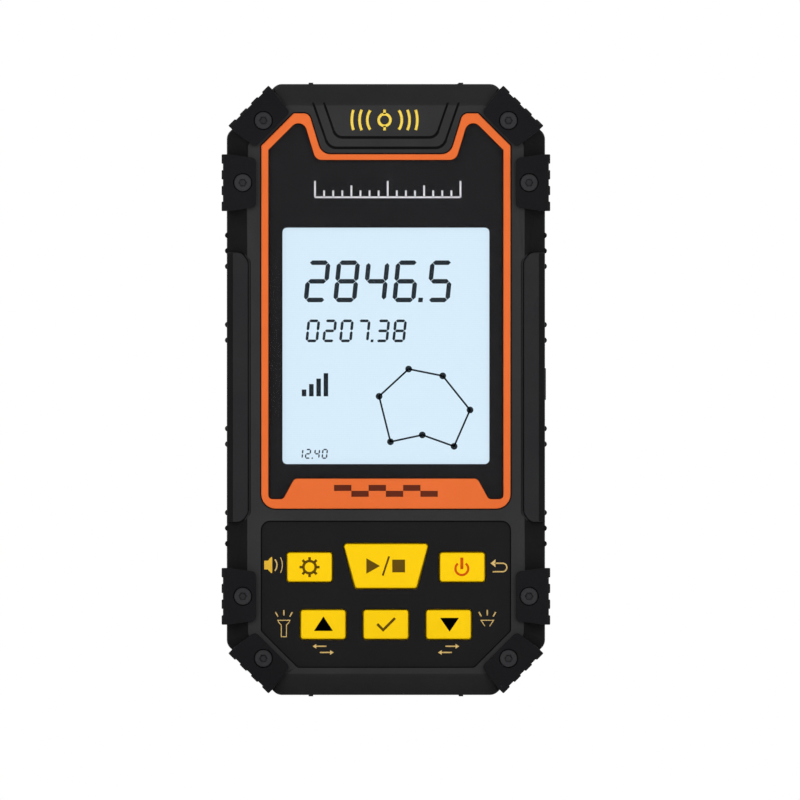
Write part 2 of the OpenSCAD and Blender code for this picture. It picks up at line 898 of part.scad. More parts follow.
module window_lens() color([0.75, 0.8, 0.82, 0.35]) slab(lens_sink, lens_sink + lens_t) lens_outline();

module lens_mask() color([0.12, 0.12, 0.13]) slab(lens_sink + lens_t, inlay_depth - tape_t) difference() {
    lens_outline();
    window_outline();
}

module lens_tape() color([0.08, 0.08, 0.08]) slab(inlay_depth - tape_t, inlay_depth) difference() {
    lens_outline();
    offset(delta = -tape_w) lens_outline();
}

// Plate of the LCD's outline between two depths
module lcd_plate(near, far, w) {
    block([-w / 2, near, lcd_z], [w / 2, far, lcd_z + lcd_h]);
}

module lcd_panel() color([0.85, 0.93, 0.98]) lcd_plate(face_wall, face_wall + lcd_t, lcd_w);

module lcd_backlight() color([0.95, 0.95, 0.92])
    lcd_plate(face_wall + lcd_t, face_wall + lcd_t + backlight_t, lcd_w);

module lcd_holder() color([0.85, 0.85, 0.83]) difference() {
    block([-holder_w / 2, face_wall, holder_z], [holder_w / 2, board_depth, holder_z + holder_h]);
    block(
        [-lcd_w / 2 - fit, face_wall - past, lcd_z - fit],
        [lcd_w / 2 + fit, board_depth - holder_floor, lcd_z + lcd_h + fit]
    );
    block(
        [-ribbon_w / 2 - ribbon_room, face_wall - past, holder_z - past],
        [ribbon_w / 2 + ribbon_room, board_depth - holder_floor, lcd_z]
    );
}

module lcd_ribbon() color([0.75, 0.45, 0.12]) crosswise(ribbon_w) polygon([
    [ribbon_depth, lcd_z],
    [ribbon_depth, ribbon_z],
    [board_depth - lcd_socket_t, ribbon_z],
    [board_depth - lcd_socket_t, ribbon_z + ribbon_t],
    [ribbon_depth + ribbon_t, ribbon_z + ribbon_t],
    [ribbon_depth + ribbon_t, lcd_z]
]);

module lcd_socket() color([0.9, 0.88, 0.8])
    chip(0, ribbon_z, ribbon_w + 2 * ribbon_room, lcd_socket_h, board_depth - lcd_socket_t, board_depth);

module keypad_panel() color([0.12, 0.12, 0.13]) slab(panel_sink, panel_depth) difference() {
    offset(delta = -fit) polygon(panel_outline());
    for (i = [0 : len(key_places) - 1]) {
        polygon(key_outline(i, key_gap));
    }
}

// One keycap with its flange and stem
module keycap(i) color([0.98, 0.81, 0.04]) {
    slab(key_top, flange_depth) polygon(key_outline(i, 0));
    slab(flange_depth, flange_depth + flange_t) polygon(key_outline(i, key_flange));
    bar(key_places[i][1], key_places[i][2], flange_depth, switch_depth - plunger_out, stem_d);
}

// One switch plunger under its key
module plunger(i) color([0.3, 0.3, 0.32])
    bar(key_places[i][1], key_places[i][2], switch_depth - plunger_out, plunger_end, plunger_d);

module keypad_seal() color([0.3, 0.3, 0.3]) slab(switch_depth - seal_t, switch_depth) difference() {
    half_w = side_key_x + switch_w / 2 + seal_margin;
    low = row_z - switch_w / 2 - seal_margin;
    translate([-half_w, low]) square([2 * half_w, start_z + switch_w / 2 + seal_margin - low]);
    for (key = key_places) {
        translate([key[1], key[2]]) circle(d = plunger_d + seal_hole_gap);
    }
    for (side = [-1, 1]) {
        translate([side * support_places[2][0], support_places[2][1]]) circle(d = support_d + seal_hole_gap);
    }
}

module switch_bodies() color([0.25, 0.25, 0.27]) for (key = key_places) {
    difference() {
        chip(key[1], key[2], switch_w, switch_w, switch_depth, board_depth);
        bar(key[1], key[2], switch_depth - past, plunger_hole_end, plunger_d + running_gap);
    }
}

module main_board() color([0.1, 0.35, 0.2]) difference() {
    union() {
        slab(board_depth, board_back) polygon(case_outline(board_inset));
        block(
            [0, board_depth, port_z - socket_w / 2 - tab_margin],
            [port_block_x - port_block_gap, board_back, port_z + socket_w / 2 + tab_margin]
        );
    }
    at_supports() bar(0, 0, board_depth - past, board_back + past, board_screw_d + shank_gap);
}

module board_screws() color([0.7, 0.7, 0.72]) at_supports() {
    bar(0, 0, board_thread_end, board_back, board_screw_d);
    bar(0, 0, board_back, board_back + board_head_h, support_d);
}

module gnss_antenna() color([0.8, 0.72, 0.55])
    chip(0, antenna_z, antenna_w, antenna_w, board_depth - antenna_t, board_depth);

module gnss_module() color([0.75, 0.76, 0.78])
    chip(-module_x, antenna_z - module_drop, module_w, module_h, board_back, board_back + module_t);

module processor() color([0.12, 0.12, 0.12])
    chip(module_x, antenna_z - module_drop, processor_w, processor_w, board_back, board_back + processor_t);

module battery() color([0.75, 0.77, 0.8]) slab(battery_depth, battery_depth + battery_t)
    polygon(battery_outline(0));

module battery_pad() color([0.2, 0.2, 0.2]) slab(inner_back - pad_t, inner_back)
    polygon(battery_outline(-pad_inset));

module battery_lead() color([0.7, 0.1, 0.1]) crosswise(lead_w) polygon([
    [lead_depth, battery_z - battery_h / 2],
    [lead_depth, plug_z + lead_t / 2],
    [board_back + plug_t, plug_z + lead_t / 2],
    [board_back + plug_t, plug_z - lead_t / 2],
    [lead_depth + lead_t, plug_z - lead_t / 2],
    [lead_depth + lead_t, battery_z - battery_h / 2]
]);

module battery_plug() color([0.92, 0.9, 0.85])
    chip(0, plug_z, plug_w, plug_h, board_back, board_back + plug_t);

module speaker() color([0.15, 0.15, 0.16]) {
    bar(0, speaker_z, inner_back - speaker_t + speaker_step, inner_back, speaker_d);
    bar(0, speaker_z, inner_back - speaker_t, inner_back - speaker_t + speaker_step, magnet_d);
}

module spring_contacts() color([0.85, 0.7, 0.3]) for (side = [-1, 1]) {
    bar(side * speaker_contact_x, speaker_z, board_back, inner_back - speaker_t, contact_d);
    bar(side * torch_contact_x, torch_contact_z, board_back, torch_depth, contact_d);
}

module torch_board() color([0.9, 0.9, 0.9])
    on_torch(reflector_z - torch_board_t) cylinder(r = torch_body_r, h = torch_board_t);

module torch_led() color([0.95, 0.85, 0.3]) on_torch(reflector_z) {
    cylinder(r = led_r, h = led_t);
    translate([0, 0, led_t]) cylinder(r1 = led_dome_r, r2 = led_tip_r, h = led_t);
}

module torch_reflector() color([0.8, 0.8, 0.82]) on_torch(reflector_z) rotate_extrude() polygon([
    [reflector_hole_r, 0],
    [torch_body_r, 0],
    [torch_body_r, reflector_h],
    [torch_r, reflector_h],
    [torch_r * 0.85, reflector_h / 2],
    [reflector_hole_r, reflector_lip]
]);

module torch_lens() color([0.8, 0.85, 0.88, 0.4]) on_torch(reflector_z + reflector_h) {
    cylinder(r = torch_body_r, h = torch_lens_t);
    cylinder(r = torch_r, h = torch_lens_t + wall - torch_lens_sink);
}

module usb_socket() color([0.75, 0.75, 0.77]) difference() {
    block(
        [socket_x, socket_depth, port_z - socket_w / 2],
        [socket_face_x, board_depth, port_z + socket_w / 2]
    );
    difference() {
        block(
            [socket_x + socket_back, socket_depth + socket_wall, port_z - socket_w / 2 + socket_wall],
            [socket_face_x + past, board_depth - socket_wall, port_z + socket_w / 2 - socket_wall]
        );
        block(
            [socket_x, socket_depth + (socket_h - tongue_t) / 2, port_z - tongue_w / 2],
            [socket_face_x - tongue_sink, socket_depth + (socket_h + tongue_t) / 2, port_z + tongue_w / 2]
        );
    }
}

module port_cover() color([0.1, 0.1, 0.1]) difference() {
    union() {
        translate([cover_x, 0, 0]) rotate([0, -90, 0]) linear_extrude(port_t) polygon(rounded([
            [port_z - port_len / 2, y_of(port_near), cover_r],
            [port_z + port_len / 2, y_of(port_near), cover_r],
            [port_z + port_len / 2, y_of(pin_depth), 0],
            [port_z - port_len / 2, y_of(pin_depth), 0]
        ]));
        on_hinge(port_len) cylinder(d = barrel_d, h = port_len);
        block(
            [cover_x - port_t - cover_plug, socket_depth + bay_gap, port_z - socket_w / 2 + bay_gap],
            [cover_x - port_t / 2, board_depth - 2 * bay_gap, port_z + socket_w / 2 - bay_gap]
        );
    }
    on_hinge(pin_len) cylinder(d = pin_d + pin_play, h = pin_len);
}

module port_pin() color([0.7, 0.7, 0.72])
    on_hinge(pin_len) cylinder(d = pin_d, h = pin_len);

// One serrated bumper lug that wraps the case edge from front to back
module lug(i) color([0.1, 0.1, 0.11]) difference() {
    at_lug(i) difference() {
        intersection() {
            upright(-lug_len / 2, lug_len / 2) polygon([
                [-lug_reach, -lug_proud],
                [lug_out - lug_bevel, -lug_proud],
                [lug_out, lug_bevel - lug_proud],
                [lug_out, body_d + lug_proud - lug_bevel],
                [lug_out - lug_bevel, body_d + lug_proud],
                [-lug_reach, body_d + lug_proud]
            ]);
            slab(-lug_proud, body_d + lug_proud) polygon(rounded([
                [lug_out, -lug_len / 2, 0],
                [lug_out, lug_len / 2, 0],
                [-lug_shoulder, lug_len / 2, 0],
                [-lug_reach, lug_len / 2 - lug_taper, lug_inner_r],
                [-lug_reach, lug_taper - lug_len / 2, lug_inner_r],
                [-lug_shoulder, -lug_len / 2, 0]
            ]));
        }
        for (gap = [1 : lug_teeth - 1]) {
            z = (gap - lug_teeth / 2) * tooth_pitch;
            block(
                [lug_out - tooth_depth, -lug_proud - past, z - tooth_gap / 2],
                [lug_out + past, body_d + lug_proud + past, z + tooth_gap / 2]
            );
        }
        bar(-screw_inset, 0, -lug_proud - past, body_d + lug_proud + past, shank_d + shank_gap);
        bar(-screw_inset, 0, -lug_proud - past, head_depth, head_d + head_gap);
        bar(-screw_inset, 0, body_d - head_depth, body_d + lug_proud + past, head_d + head_gap);
    }
    case_form();
}

// Round screw with a hex socket, its head at the near end
module screw(near, thread_end) {
    difference() {
        bar(-screw_inset, 0, near, near + head_h, head_d);
        bar(-screw_inset, 0, near - head_h / 2, near + head_h / 2, hex_d, $fn = 6);
    }
    bar(-screw_inset, 0, near + head_h, thread_end, shank_d);
}

module bumper_screws() color([0.22, 0.22, 0.23]) for (i = [0 : len(lug_places) - 1]) {
    at_lug(i) screw(-lug_proud, front_thread);
}

module case_screws() color([0.22, 0.22, 0.23]) for (i = [0 : len(lug_places) - 1]) {
    at_lug(i) mirror([0, 1, 0]) screw(-lug_proud, body_d - case_thread_end);
}

module grip(side, back) color([0.18, 0.18, 0.19])
    mirror([side, 0, 0]) mirror([0, back, 0]) grip_form(0);

front_shell();
rear_cover();
case_seal();
trim_bezel();
window_lens();
lens_mask();
lens_tape();
lcd_panel();
lcd_backlight();
lcd_holder();
lcd_ribbon();
lcd_socket();
keypad_panel();
keycap(0);  // key_settings
keycap(1);  // key_start_stop
keycap(2);  // key_power
keycap(3);  // key_up
keycap(4);  // key_enter
keycap(5);  // key_down
plunger(0);  // plunger_settings
plunger(1);  // plunger_start_stop
plunger(2);  // plunger_power
plunger(3);  // plunger_up
plunger(4);  // plunger_enter
plunger(5);  // plunger_down
keypad_seal();
switch_bodies();
main_board();
board_screws();
gnss_antenna();
gnss_module();
processor();
battery();
battery_pad();
battery_lead();
battery_plug();
speaker();
spring_contacts();
torch_board();
torch_led();
torch_reflector();
torch_lens();
usb_socket();
port_cover();
port_pin();
lug(0);  // lug_top_left
lug(1);  // lug_top_right
lug(2);  // lug_bottom_left
lug(3);  // lug_bottom_right
lug(4);  // lug_left_upper
lug(5);  // lug_left_lower
lug(6);  // lug_right_upper
lug(7);  // lug_right_lower
bumper_screws();
case_screws();
grip(1, 0);  // grip_front_left
grip(0, 0);  // grip_front_right
grip(1, 1);  // grip_rear_left
grip(0, 1);  // grip_rear_right
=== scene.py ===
# Looks of the handheld land area meter: moulded case, rubber bumpers and grips, printed keypad and LCD.
# Sizes are in millimetres and are turned to metres where a mesh is made.
import json
import math

import bmesh
import bpy
from mathutils import Matrix, Vector

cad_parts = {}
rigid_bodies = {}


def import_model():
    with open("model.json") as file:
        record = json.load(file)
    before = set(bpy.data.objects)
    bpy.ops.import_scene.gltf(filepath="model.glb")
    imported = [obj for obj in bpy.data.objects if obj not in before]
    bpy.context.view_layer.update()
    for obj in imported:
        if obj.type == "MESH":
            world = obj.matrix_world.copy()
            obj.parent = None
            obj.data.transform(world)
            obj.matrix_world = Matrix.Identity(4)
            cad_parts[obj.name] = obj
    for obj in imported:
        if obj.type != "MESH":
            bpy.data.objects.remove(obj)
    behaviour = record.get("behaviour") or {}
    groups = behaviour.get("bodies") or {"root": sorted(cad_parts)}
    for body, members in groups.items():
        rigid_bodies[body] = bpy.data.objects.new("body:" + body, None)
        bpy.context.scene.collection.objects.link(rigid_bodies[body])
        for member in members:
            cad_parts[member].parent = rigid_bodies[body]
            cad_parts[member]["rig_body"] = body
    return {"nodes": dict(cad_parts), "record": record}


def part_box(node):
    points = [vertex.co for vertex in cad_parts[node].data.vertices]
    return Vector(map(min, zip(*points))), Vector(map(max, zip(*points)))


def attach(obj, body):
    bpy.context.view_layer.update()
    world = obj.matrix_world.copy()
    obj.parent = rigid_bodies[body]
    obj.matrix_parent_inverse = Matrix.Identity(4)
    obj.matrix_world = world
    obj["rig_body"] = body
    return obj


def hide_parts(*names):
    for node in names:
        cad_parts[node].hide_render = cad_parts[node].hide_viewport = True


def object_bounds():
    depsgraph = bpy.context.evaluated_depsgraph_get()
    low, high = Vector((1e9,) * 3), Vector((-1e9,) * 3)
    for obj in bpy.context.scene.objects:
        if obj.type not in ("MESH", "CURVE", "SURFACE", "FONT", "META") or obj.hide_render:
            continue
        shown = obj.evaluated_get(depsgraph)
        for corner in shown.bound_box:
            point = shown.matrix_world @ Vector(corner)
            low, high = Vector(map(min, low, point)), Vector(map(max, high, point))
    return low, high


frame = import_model()
cad_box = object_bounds()
NODES = frame["nodes"]
MM = 0.001

# Named places of the case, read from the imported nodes
PANEL_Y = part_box("keypad_panel")[0].y / MM
LCD_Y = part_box("lcd_panel")[0].y / MM
TRIM_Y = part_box("trim_bezel")[0].y / MM
KEY_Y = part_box("key_enter")[0].y / MM
LENS_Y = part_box("window_lens")[0].y / MM
BORDER_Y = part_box("lens_mask")[0].y / MM
PLANE_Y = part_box("front_shell")[0].y / MM
MIDDLE_Z = (cad_box[0].z + cad_box[1].z) / 2 / MM
HALF_HEIGHT = cad_box[1].z / MM - MIDDLE_Z

# Thickness of a print, which stands in front of what it is printed on, and a hair of air
PRINT = 0.05
CLEAR = 0.02

# Distance within which two corners are one
WELD = 0.004
# Distance from the place where an edge or face is looked for: exact, near, or a plane with its rounded edges
EXACT = 0.02
NEAR = 0.05
PLANE_ROOM = 0.15

# Angles between two faces in degrees: of one plane, of an outward edge, of a crease and of a square edge
ONE_PLANE = 0.4
OUTWARD = 30
CREASE = 32
SQUARE = 60

# Part of a noise's range over which a surface drifts from its dark tone to its pale one
DRIFT = (0.3, 0.7)

LUGS = ("top_left", "top_right", "bottom_left", "bottom_right",
        "left_upper", "left_lower", "right_upper", "right_lower")
GRIPS = ("front_left", "front_right", "rear_left", "rear_right")
KEYS = ("settings", "start_stop", "power", "up", "enter", "down")


def linear(code):
    """Linear colour of an sRGB hex code."""
    values = [int(code[i:i + 2], 16) / 255 for i in (1, 3, 5)]
    curve = [c / 12.92 if c <= 0.04045 else ((c + 0.055) / 1.055) ** 2.4 for c in values]
    return (*curve, 1.0)


def add(tree, kind, inputs=None, **settings):
    """Adds a node, sets its properties, and sets or links its inputs."""
    node = tree.nodes.new(kind)
    for name, value in settings.items():
        setattr(node, name, value)
    for name, value in (inputs or {}).items():
        if isinstance(value, bpy.types.NodeSocket):
            tree.links.new(value, node.inputs[name])
        else:
            node.inputs[name].default_value = value
    return node


def surface(name, **sockets):
    """New material with one principled shader; returns the material, its tree and the shader."""
    material = bpy.data.materials.new(name)
    material.use_nodes = True
    tree = material.node_tree
    tree.nodes.clear()
    shader = add(tree, "ShaderNodeBsdfPrincipled", sockets)
    add(tree, "ShaderNodeOutputMaterial", {"Surface": shader.outputs["BSDF"]})
    return material, tree, shader


def grained(name, dark, pale, grain, depth, rough, spread=0.08, blotch=9.0, **sockets):
    """Moulded surface: a fine grain in bump and gloss, and a slow drift between two close tones.

    grain, blotch and depth are sizes in millimetres: of the grain, of the drift and of the grain's height.
    """
    material, tree, shader = surface(name, **sockets)
    place = add(tree, "ShaderNodeTexCoord").outputs["Object"]
    slow = add(tree, "ShaderNodeTexNoise", {"Vector": place, "Scale": 1 / (blotch * MM), "Detail": 3.0})
    fine = add(tree, "ShaderNodeTexNoise", {"Vector": place, "Scale": 1 / (grain * MM), "Detail": 2.0})
    tone = add(tree, "ShaderNodeValToRGB", {"Fac": slow.outputs["Fac"]})
    for stop, position, code in zip(tone.color_ramp.elements, DRIFT, (dark, pale)):
        stop.position = position
        stop.color = linear(code)
    gloss = add(tree, "ShaderNodeMapRange", {
        "Value": fine.outputs["Fac"],
        "To Min": rough - spread,
        "To Max": rough + spread,
    })
    bump = add(tree, "ShaderNodeBump", {"Height": fine.outputs["Fac"], "Distance": depth * MM})
    tree.links.new(tone.outputs["Color"], shader.inputs["Base Color"])
    tree.links.new(gloss.outputs["Result"], shader.inputs["Roughness"])
    tree.links.new(bump.outputs["Normal"], shader.inputs["Normal"])
    return material


def link_mesh(name, bm, *materials):
    """Makes an object of a bmesh, smooth with sharp creases."""
    mesh = bpy.data.meshes.new(name)
    bm.to_mesh(mesh)
    bm.free()
    mesh.shade_smooth()
    mesh.set_sharp_from_angle(angle=math.radians(CREASE))
    for material in materials:
        mesh.materials.append(material)
    piece = bpy.data.objects.new(name, mesh)
    bpy.context.scene.collection.objects.link(piece)
    return piece


def round_edges(bm, width, segments, low=OUTWARD, high=180, where=None):
    """Bevels the outward edges whose faces meet at an angle between two limits, in degrees."""
    chosen = []
    for edge in bm.edges:
        if len(edge.link_faces) != 2:
            continue
        angle = math.degrees(edge.calc_face_angle_signed(0.0))
        middle = (edge.verts[0].co + edge.verts[1].co) / 2 / MM
        if low < angle < high and (where is None or where(middle)):
            chosen.append(edge)
    bmesh.ops.bevel(
        bm, geom=chosen, offset=width * MM, offset_type="OFFSET", segments=segments, profile=0.5,
        affect="EDGES", clamp_overlap=False, material=-1, loop_slide=True,
    )


def merged_copy(node):
    """A bmesh of a CAD node with its loose triangles merged into whole faces."""
    bm = bmesh.new()
    bm.from_mesh(NODES[node].data)
    bmesh.ops.remove_doubles(bm, verts=bm.verts, dist=WELD * MM)
    bmesh.ops.dissolve_limit(bm, angle_limit=math.radians(ONE_PLANE), verts=bm.verts, edges=bm.edges)
    return bm


def even_shading(piece):
    """Keeps large flat faces flat in shade where they run into a rounded edge."""
    piece.modifiers.new("even shading", "WEIGHTED_NORMAL").keep_sharp = True


def refined(node, name, slot, materials, *roundings):
    """A copy of a CAD node with rounded edges, which rides with the node's body and stands for it."""
    bm = merged_copy(node)
    for rounding in roundings:
        round_edges(bm, **rounding)
    piece = link_mesh(name, bm, *materials)
    even_shading(piece)
    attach(piece, NODES[node]["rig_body"])
    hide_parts(node)
    return piece


# Materials

def acrylic(name, ripple, height, **sockets):
    """Clear acrylic with a faint ripple from its mould; ripple and height are sizes in millimetres."""
    material, tree, shader = surface(name, IOR=1.49, **sockets)
    place = add(tree, "ShaderNodeTexCoord").outputs["Object"]
    waves = add(tree, "ShaderNodeTexNoise", {"Vector": place, "Scale": 1 / (ripple * MM)})
    bump = add(tree, "ShaderNodeBump", {"Height": waves.outputs["Fac"], "Distance": height * MM})
    tree.links.new(bump.outputs["Normal"], shader.inputs["Normal"])
    return material


def screen_acrylic():
    """Anti-glare sheet over the screen, thin enough to see straight through."""
    return acrylic("anti-glare acrylic", 0.5, 0.001, **{
        "Base Color": linear("#101012"),
        "Alpha": 0.05,
        "Roughness": 0.15,
        "Specular IOR Level": 0.2,
    })


def torch_acrylic():
    """Polished acrylic of the torch: a grey sheen on top, with the reflector showing through."""
    return acrylic("polished acrylic", 2.0, 0.002, **{
        "Base Color": linear("#6d7176"),
        "Alpha": 0.2,
        "Roughness": 0.15,
    })


def lcd_face():
    """Backlit LCD: pale blue and glowing, with a faint grid of 0.44 mm dots, twice as coarse as real."""
    material, tree, shader = surface("backlit LCD", **{
        "Base Color": linear("#606a70"),
        "Roughness": 0.4,
        "Specular IOR Level": 0.1,
        "Emission Strength": 0.92,
    })
    dot = 0.44 * MM
    place = add(tree, "ShaderNodeTexCoord").outputs["Object"]
    upright = add(tree, "ShaderNodeMapping", {"Vector": place, "Rotation": (math.radians(90), 0, 0)})
    grid = add(tree, "ShaderNodeTexBrick", {
        "Vector": upright.outputs["Vector"],
        "Color1": linear("#d9effd"),
        "Color2": linear("#dbf0fe"),
        "Mortar": linear("#d3eafa"),
        "Scale": 1.0,
        "Mortar Size": dot / 10,
        "Brick Width": dot,
        "Row Height": dot,
    }, offset=0.0)
    tree.links.new(grid.outputs["Color"], shader.inputs["Emission Color"])
    return material


def make_materials():
    """All the finishes of the meter, by the record's slot or by their own name."""
    found = {}
    matt = {"Specular IOR Level": 0.06}
    dead_matt = {"Specular IOR Level": 0.0}
    # Moulded ABS with a fine spark-eroded grain, drawn at 0.45 mm so that it shows
    found["shell_plastic"] = grained("textured ABS", "#2d2d2e", "#313132", 0.45, 0.010, 0.75, **matt)
    # The same ABS in a deeper grey on the walls and recess floors; on the sloped ends this deeper grey is
    # painted shade
    found["deeper ABS and painted shade"] = grained("deeper ABS and painted shade", "#252526", "#29292a", 0.6, 0.004, 0.7, **matt)
    # Very dark coat: partly a darker finish and partly painted shade on the side slopes, and painted shade
    # in the sunk and rounded edges of the case
    found["dark coat and painted shade"] = grained("soft dark coat and painted shade", "#0e0e0f", "#111112", 0.5, 0.006, 0.8, **matt)
    # Moulded rubber of the bumpers: very dark and matt
    found["bumper_rubber"] = grained("moulded rubber", "#131315", "#161618", 0.5, 0.010, 0.8, **matt)
    # Soft rubber of the grips: a little paler than the bumpers
    found["grip_rubber"] = grained("soft grip rubber", "#242426", "#282829", 0.4, 0.010, 0.75, **matt)
    # Silicone of the inner seals
    found["seal_rubber"] = grained("silicone rubber", "#121212", "#181818", 0.6, 0.010, 0.7, **matt)
    # Painted plastic of the trim: satin orange with faint orange peel
    found["trim_plastic"] = grained("satin orange paint", "#de6930", "#e36d34", 0.7, 0.004, 0.6, **matt)
    # Printed film of the keypad: dark, satin, nearly smooth
    found["black_print"] = grained("printed black film", "#161617", "#181819", 0.5, 0.003, 0.7, **matt)
    # Print behind the lens, seen through the acrylic
    found["lens print"] = grained("lens border print", "#1b1b1d", "#1d1d1f", 0.5, 0.002, 0.7, **matt)
    # Foam tape behind the lens
    found["adhesive_tape"] = grained("foam tape", "#101010", "#161616", 0.5, 0.02, 0.8)
    # Satin yellow ABS of the keys
    found["key_plastic"] = grained("yellow ABS", "#f8ca03", "#fbce06", 0.6, 0.003, 0.55, **matt)
    # White moulded plastic of the backlight and its holder
    found["white_plastic"] = grained("white moulded plastic", "#dcdcd8", "#e6e6e2", 0.6, 0.006, 0.5)
    # Amber polyimide film of the ribbon
    found["ribbon_film"] = grained("polyimide film", "#b4691e", "#c27a2a", 0.8, 0.003, 0.3)
    # Nylon of the connectors
    found["connector_plastic"] = grained("moulded nylon", "#ddd6c2", "#e8e2d0", 0.5, 0.006, 0.5)
    # Black phenolic of the switches and chip packages
    found["switch_plastic"] = grained("black phenolic", "#232326", "#2b2b2e", 0.4, 0.008, 0.6)
    # Green solder mask over glass fibre cloth
    found["board_laminate"] = grained("solder mask", "#14512d", "#1b6238", 0.5, 0.006, 0.35)
    # Fired ceramic of the antenna
    found["antenna_ceramic"] = grained("fired ceramic", "#c9b48a", "#d3c199", 0.4, 0.006, 0.6)
    # Foam pad behind the battery
    found["foam"] = grained("closed-cell foam", "#2c2c2c", "#353535", 0.5, 0.05, 0.9)
    # Insulation of the battery lead
    found["lead_insulation"] = grained("wire insulation", "#a01a1a", "#b22424", 0.6, 0.004, 0.45)
    # Painted steel of the speaker
    found["speaker_steel"] = grained("painted speaker basket", "#242426", "#2d2d2f", 0.4, 0.008, 0.5)
    # Cast resin of the LED
    found["led_resin"] = grained("phosphor resin", "#ecd25a", "#f4dc6c", 0.5, 0.004, 0.35)
    # White mask of the LED board
    found["led_board"] = grained("white solder mask", "#dededc", "#e9e9e7", 0.5, 0.004, 0.4)
    # Metals: nickel plate, battery foil, plated brass and a bright vacuum plating
    for slot, name, dark, pale, rough in (
        ("bare_steel", "nickel plated steel", "#b4b4b6", "#c4c4c6", 0.32),
        ("battery_pouch", "laminated foil", "#b9bcc2", "#c8cbd0", 0.38),
        ("contact_brass", "plated brass", "#d1ab4f", "#dcb95e", 0.25),
        ("plated_reflector", "vacuum plated reflector", "#e2e2e4", "#ededef", 0.12),
    ):
        found[slot] = grained(name, dark, pale, 0.35, 0.003, rough, spread=0.05, Metallic=1.0)
    # Black oxide on the screws: the oxide is no bare metal, so it shades like a dark satin paint
    found["black_steel"] = grained("black oxide steel", "#2b2b2d", "#303032", 0.3, 0.004, 0.65, **matt)
    found["clear_acrylic"] = screen_acrylic()
    found["polished acrylic"] = torch_acrylic()
    found["lcd_cell"] = lcd_face()
    # Screen-printed inks: a thin even layer with a slight tooth
    for ink, dark, pale in (
        ("gold ink", "#d2b26e", "#d9b976"),
        ("deep gold ink", "#dbae32", "#e0b338"),
        ("brown ink", "#5a4202", "#624904"),
        ("red ink", "#cf5004", "#d6580a"),
        ("yellow ink", "#f1cf50", "#f6d558"),
        ("pale ink", "#f3f2f8", "#f8f7fd"),
        ("dark plate ink", "#561f0d", "#5e2613"),
        ("LCD ink", "#212a31", "#262f36"),
    ):
        found[ink] = grained(ink, dark, pale, 0.25, 0.002, 0.55, **matt)
    # Black ink of the arrow keys: dead matt, so that it gives back no light
    found["black ink"] = grained("black ink", "#010101", "#020202", 0.25, 0.002, 0.9, **dead_matt)
    return found


MATERIALS = make_materials()


def dress_nodes():
    """Gives every CAD node the finish of its slot."""
    for entry in frame["record"]["subparts"]:
        node = NODES[entry["node"]]
        node.data.materials.clear()
        node.data.materials.append(MATERIALS[entry["material_slot"]])
    NODES["lens_mask"].data.materials[0] = MATERIALS["lens print"]


# Case, bumpers, grips, trim and keys

# Depths below the case's outer planes: foot of the slopes, and floor of the grip grooves and label recess
EDGE_SLOPE = 4.5
RECESS = 0.6
# Height of each end within which the slopes take the deeper grey as painted shade
END_ZONE = 6.0
# Least forward or backward part of the direction that a face looks in: for a slope and for a flat face
SLOPED = 0.5
FLAT = 0.93
# Finishes of the case, in the order of its material slots; the first two carry painted shade
FINISHES = ("dark coat and painted shade", "deeper ABS and painted shade", "shell_plastic")


def case_finish(face):
    """Place in FINISHES of the finish of a face of the case, with painted shade on its slopes and sunk
    edges.
    """
    depth = abs(PLANE_Y) - abs(face.center.y) / MM
    facing = abs(face.normal.y)
    if facing > FLAT and depth < PLANE_ROOM:
        return FINISHES.index("shell_plastic")
    from_end = HALF_HEIGHT - abs(face.center.z / MM - MIDDLE_Z)
    lengthwise = abs(face.normal.z) > abs(face.normal.x)
    # Painted shade: the sloped ends in the deeper grey, and the side slopes and sunk edges near the front in
    # the dark coat; walls and recess floors take the deeper grey too
    on_end_slope = SLOPED < facing < FLAT and lengthwise and from_end < END_ZONE
    in_recess = facing > FLAT and abs(depth - RECESS) < NEAR
    smooth = depth > EDGE_SLOPE or on_end_slope or in_recess
    return FINISHES.index("deeper ABS and painted shade" if smooth else "dark coat and painted shade")


def beside_trim(reach=0.12):
    """Test for the edges that run along the trim's own edges, seen from the front."""
    bm = merged_copy("trim_bezel")
    middles = [(edge.verts[0].co + edge.verts[1].co).xz / 2 / MM for edge in bm.edges]
    bm.free()
    return lambda middle: any((middle.xz - other).length < reach for other in middles)


def make_case():
    """Case halves with softened outer edges, crisp cut-outs and a rounded edge round the trim, painted dark
    as a shadow line.
    """
    def at_depth(*depths):
        return lambda middle: any(abs(abs(middle.y) - abs(PLANE_Y) + depth) < EXACT for depth in depths)

    on_plane = at_depth(0)
    along_trim = beside_trim()

    def at_painted_shadow_seam(middle):
        return on_plane(middle) and along_trim(middle)

    soft = {"width": 0.45, "segments": 3, "high": SQUARE, "where": at_depth(0, EDGE_SLOPE)}
    # The rounded edge round the trim and the crisp edges of the cut-outs take the dark coat: painted shadow
    # lines
    painted_shadow_seam = {"width": 0.24, "segments": 2, "low": SQUARE, "where": at_painted_shadow_seam}
    crisp = {"width": 0.1, "segments": 2, "low": SQUARE, "where": on_plane}
    finishes = [MATERIALS[name] for name in FINISHES]
    for node, name in (("front_shell", "case_front"), ("rear_cover", "case_back")):
        piece = refined(node, name, "shell_plastic", finishes, soft, painted_shadow_seam, crisp)
        for face in piece.data.polygons:
            face.material_index = case_finish(face)


def make_bumpers():
    """Eight bumper lugs with rounded edges and teeth."""
    for place in LUGS:
        refined("lug_" + place, "bumper_" + place, "bumper_rubber", [MATERIALS["bumper_rubber"]],
                {"width": 0.18, "segments": 2})


# Sideways part of the direction that the outer bevel of a grip looks in, at least and at most; these faces
# take the dark coat as painted shade
BEVEL_FROM = 0.4
BEVEL_TO = 0.9


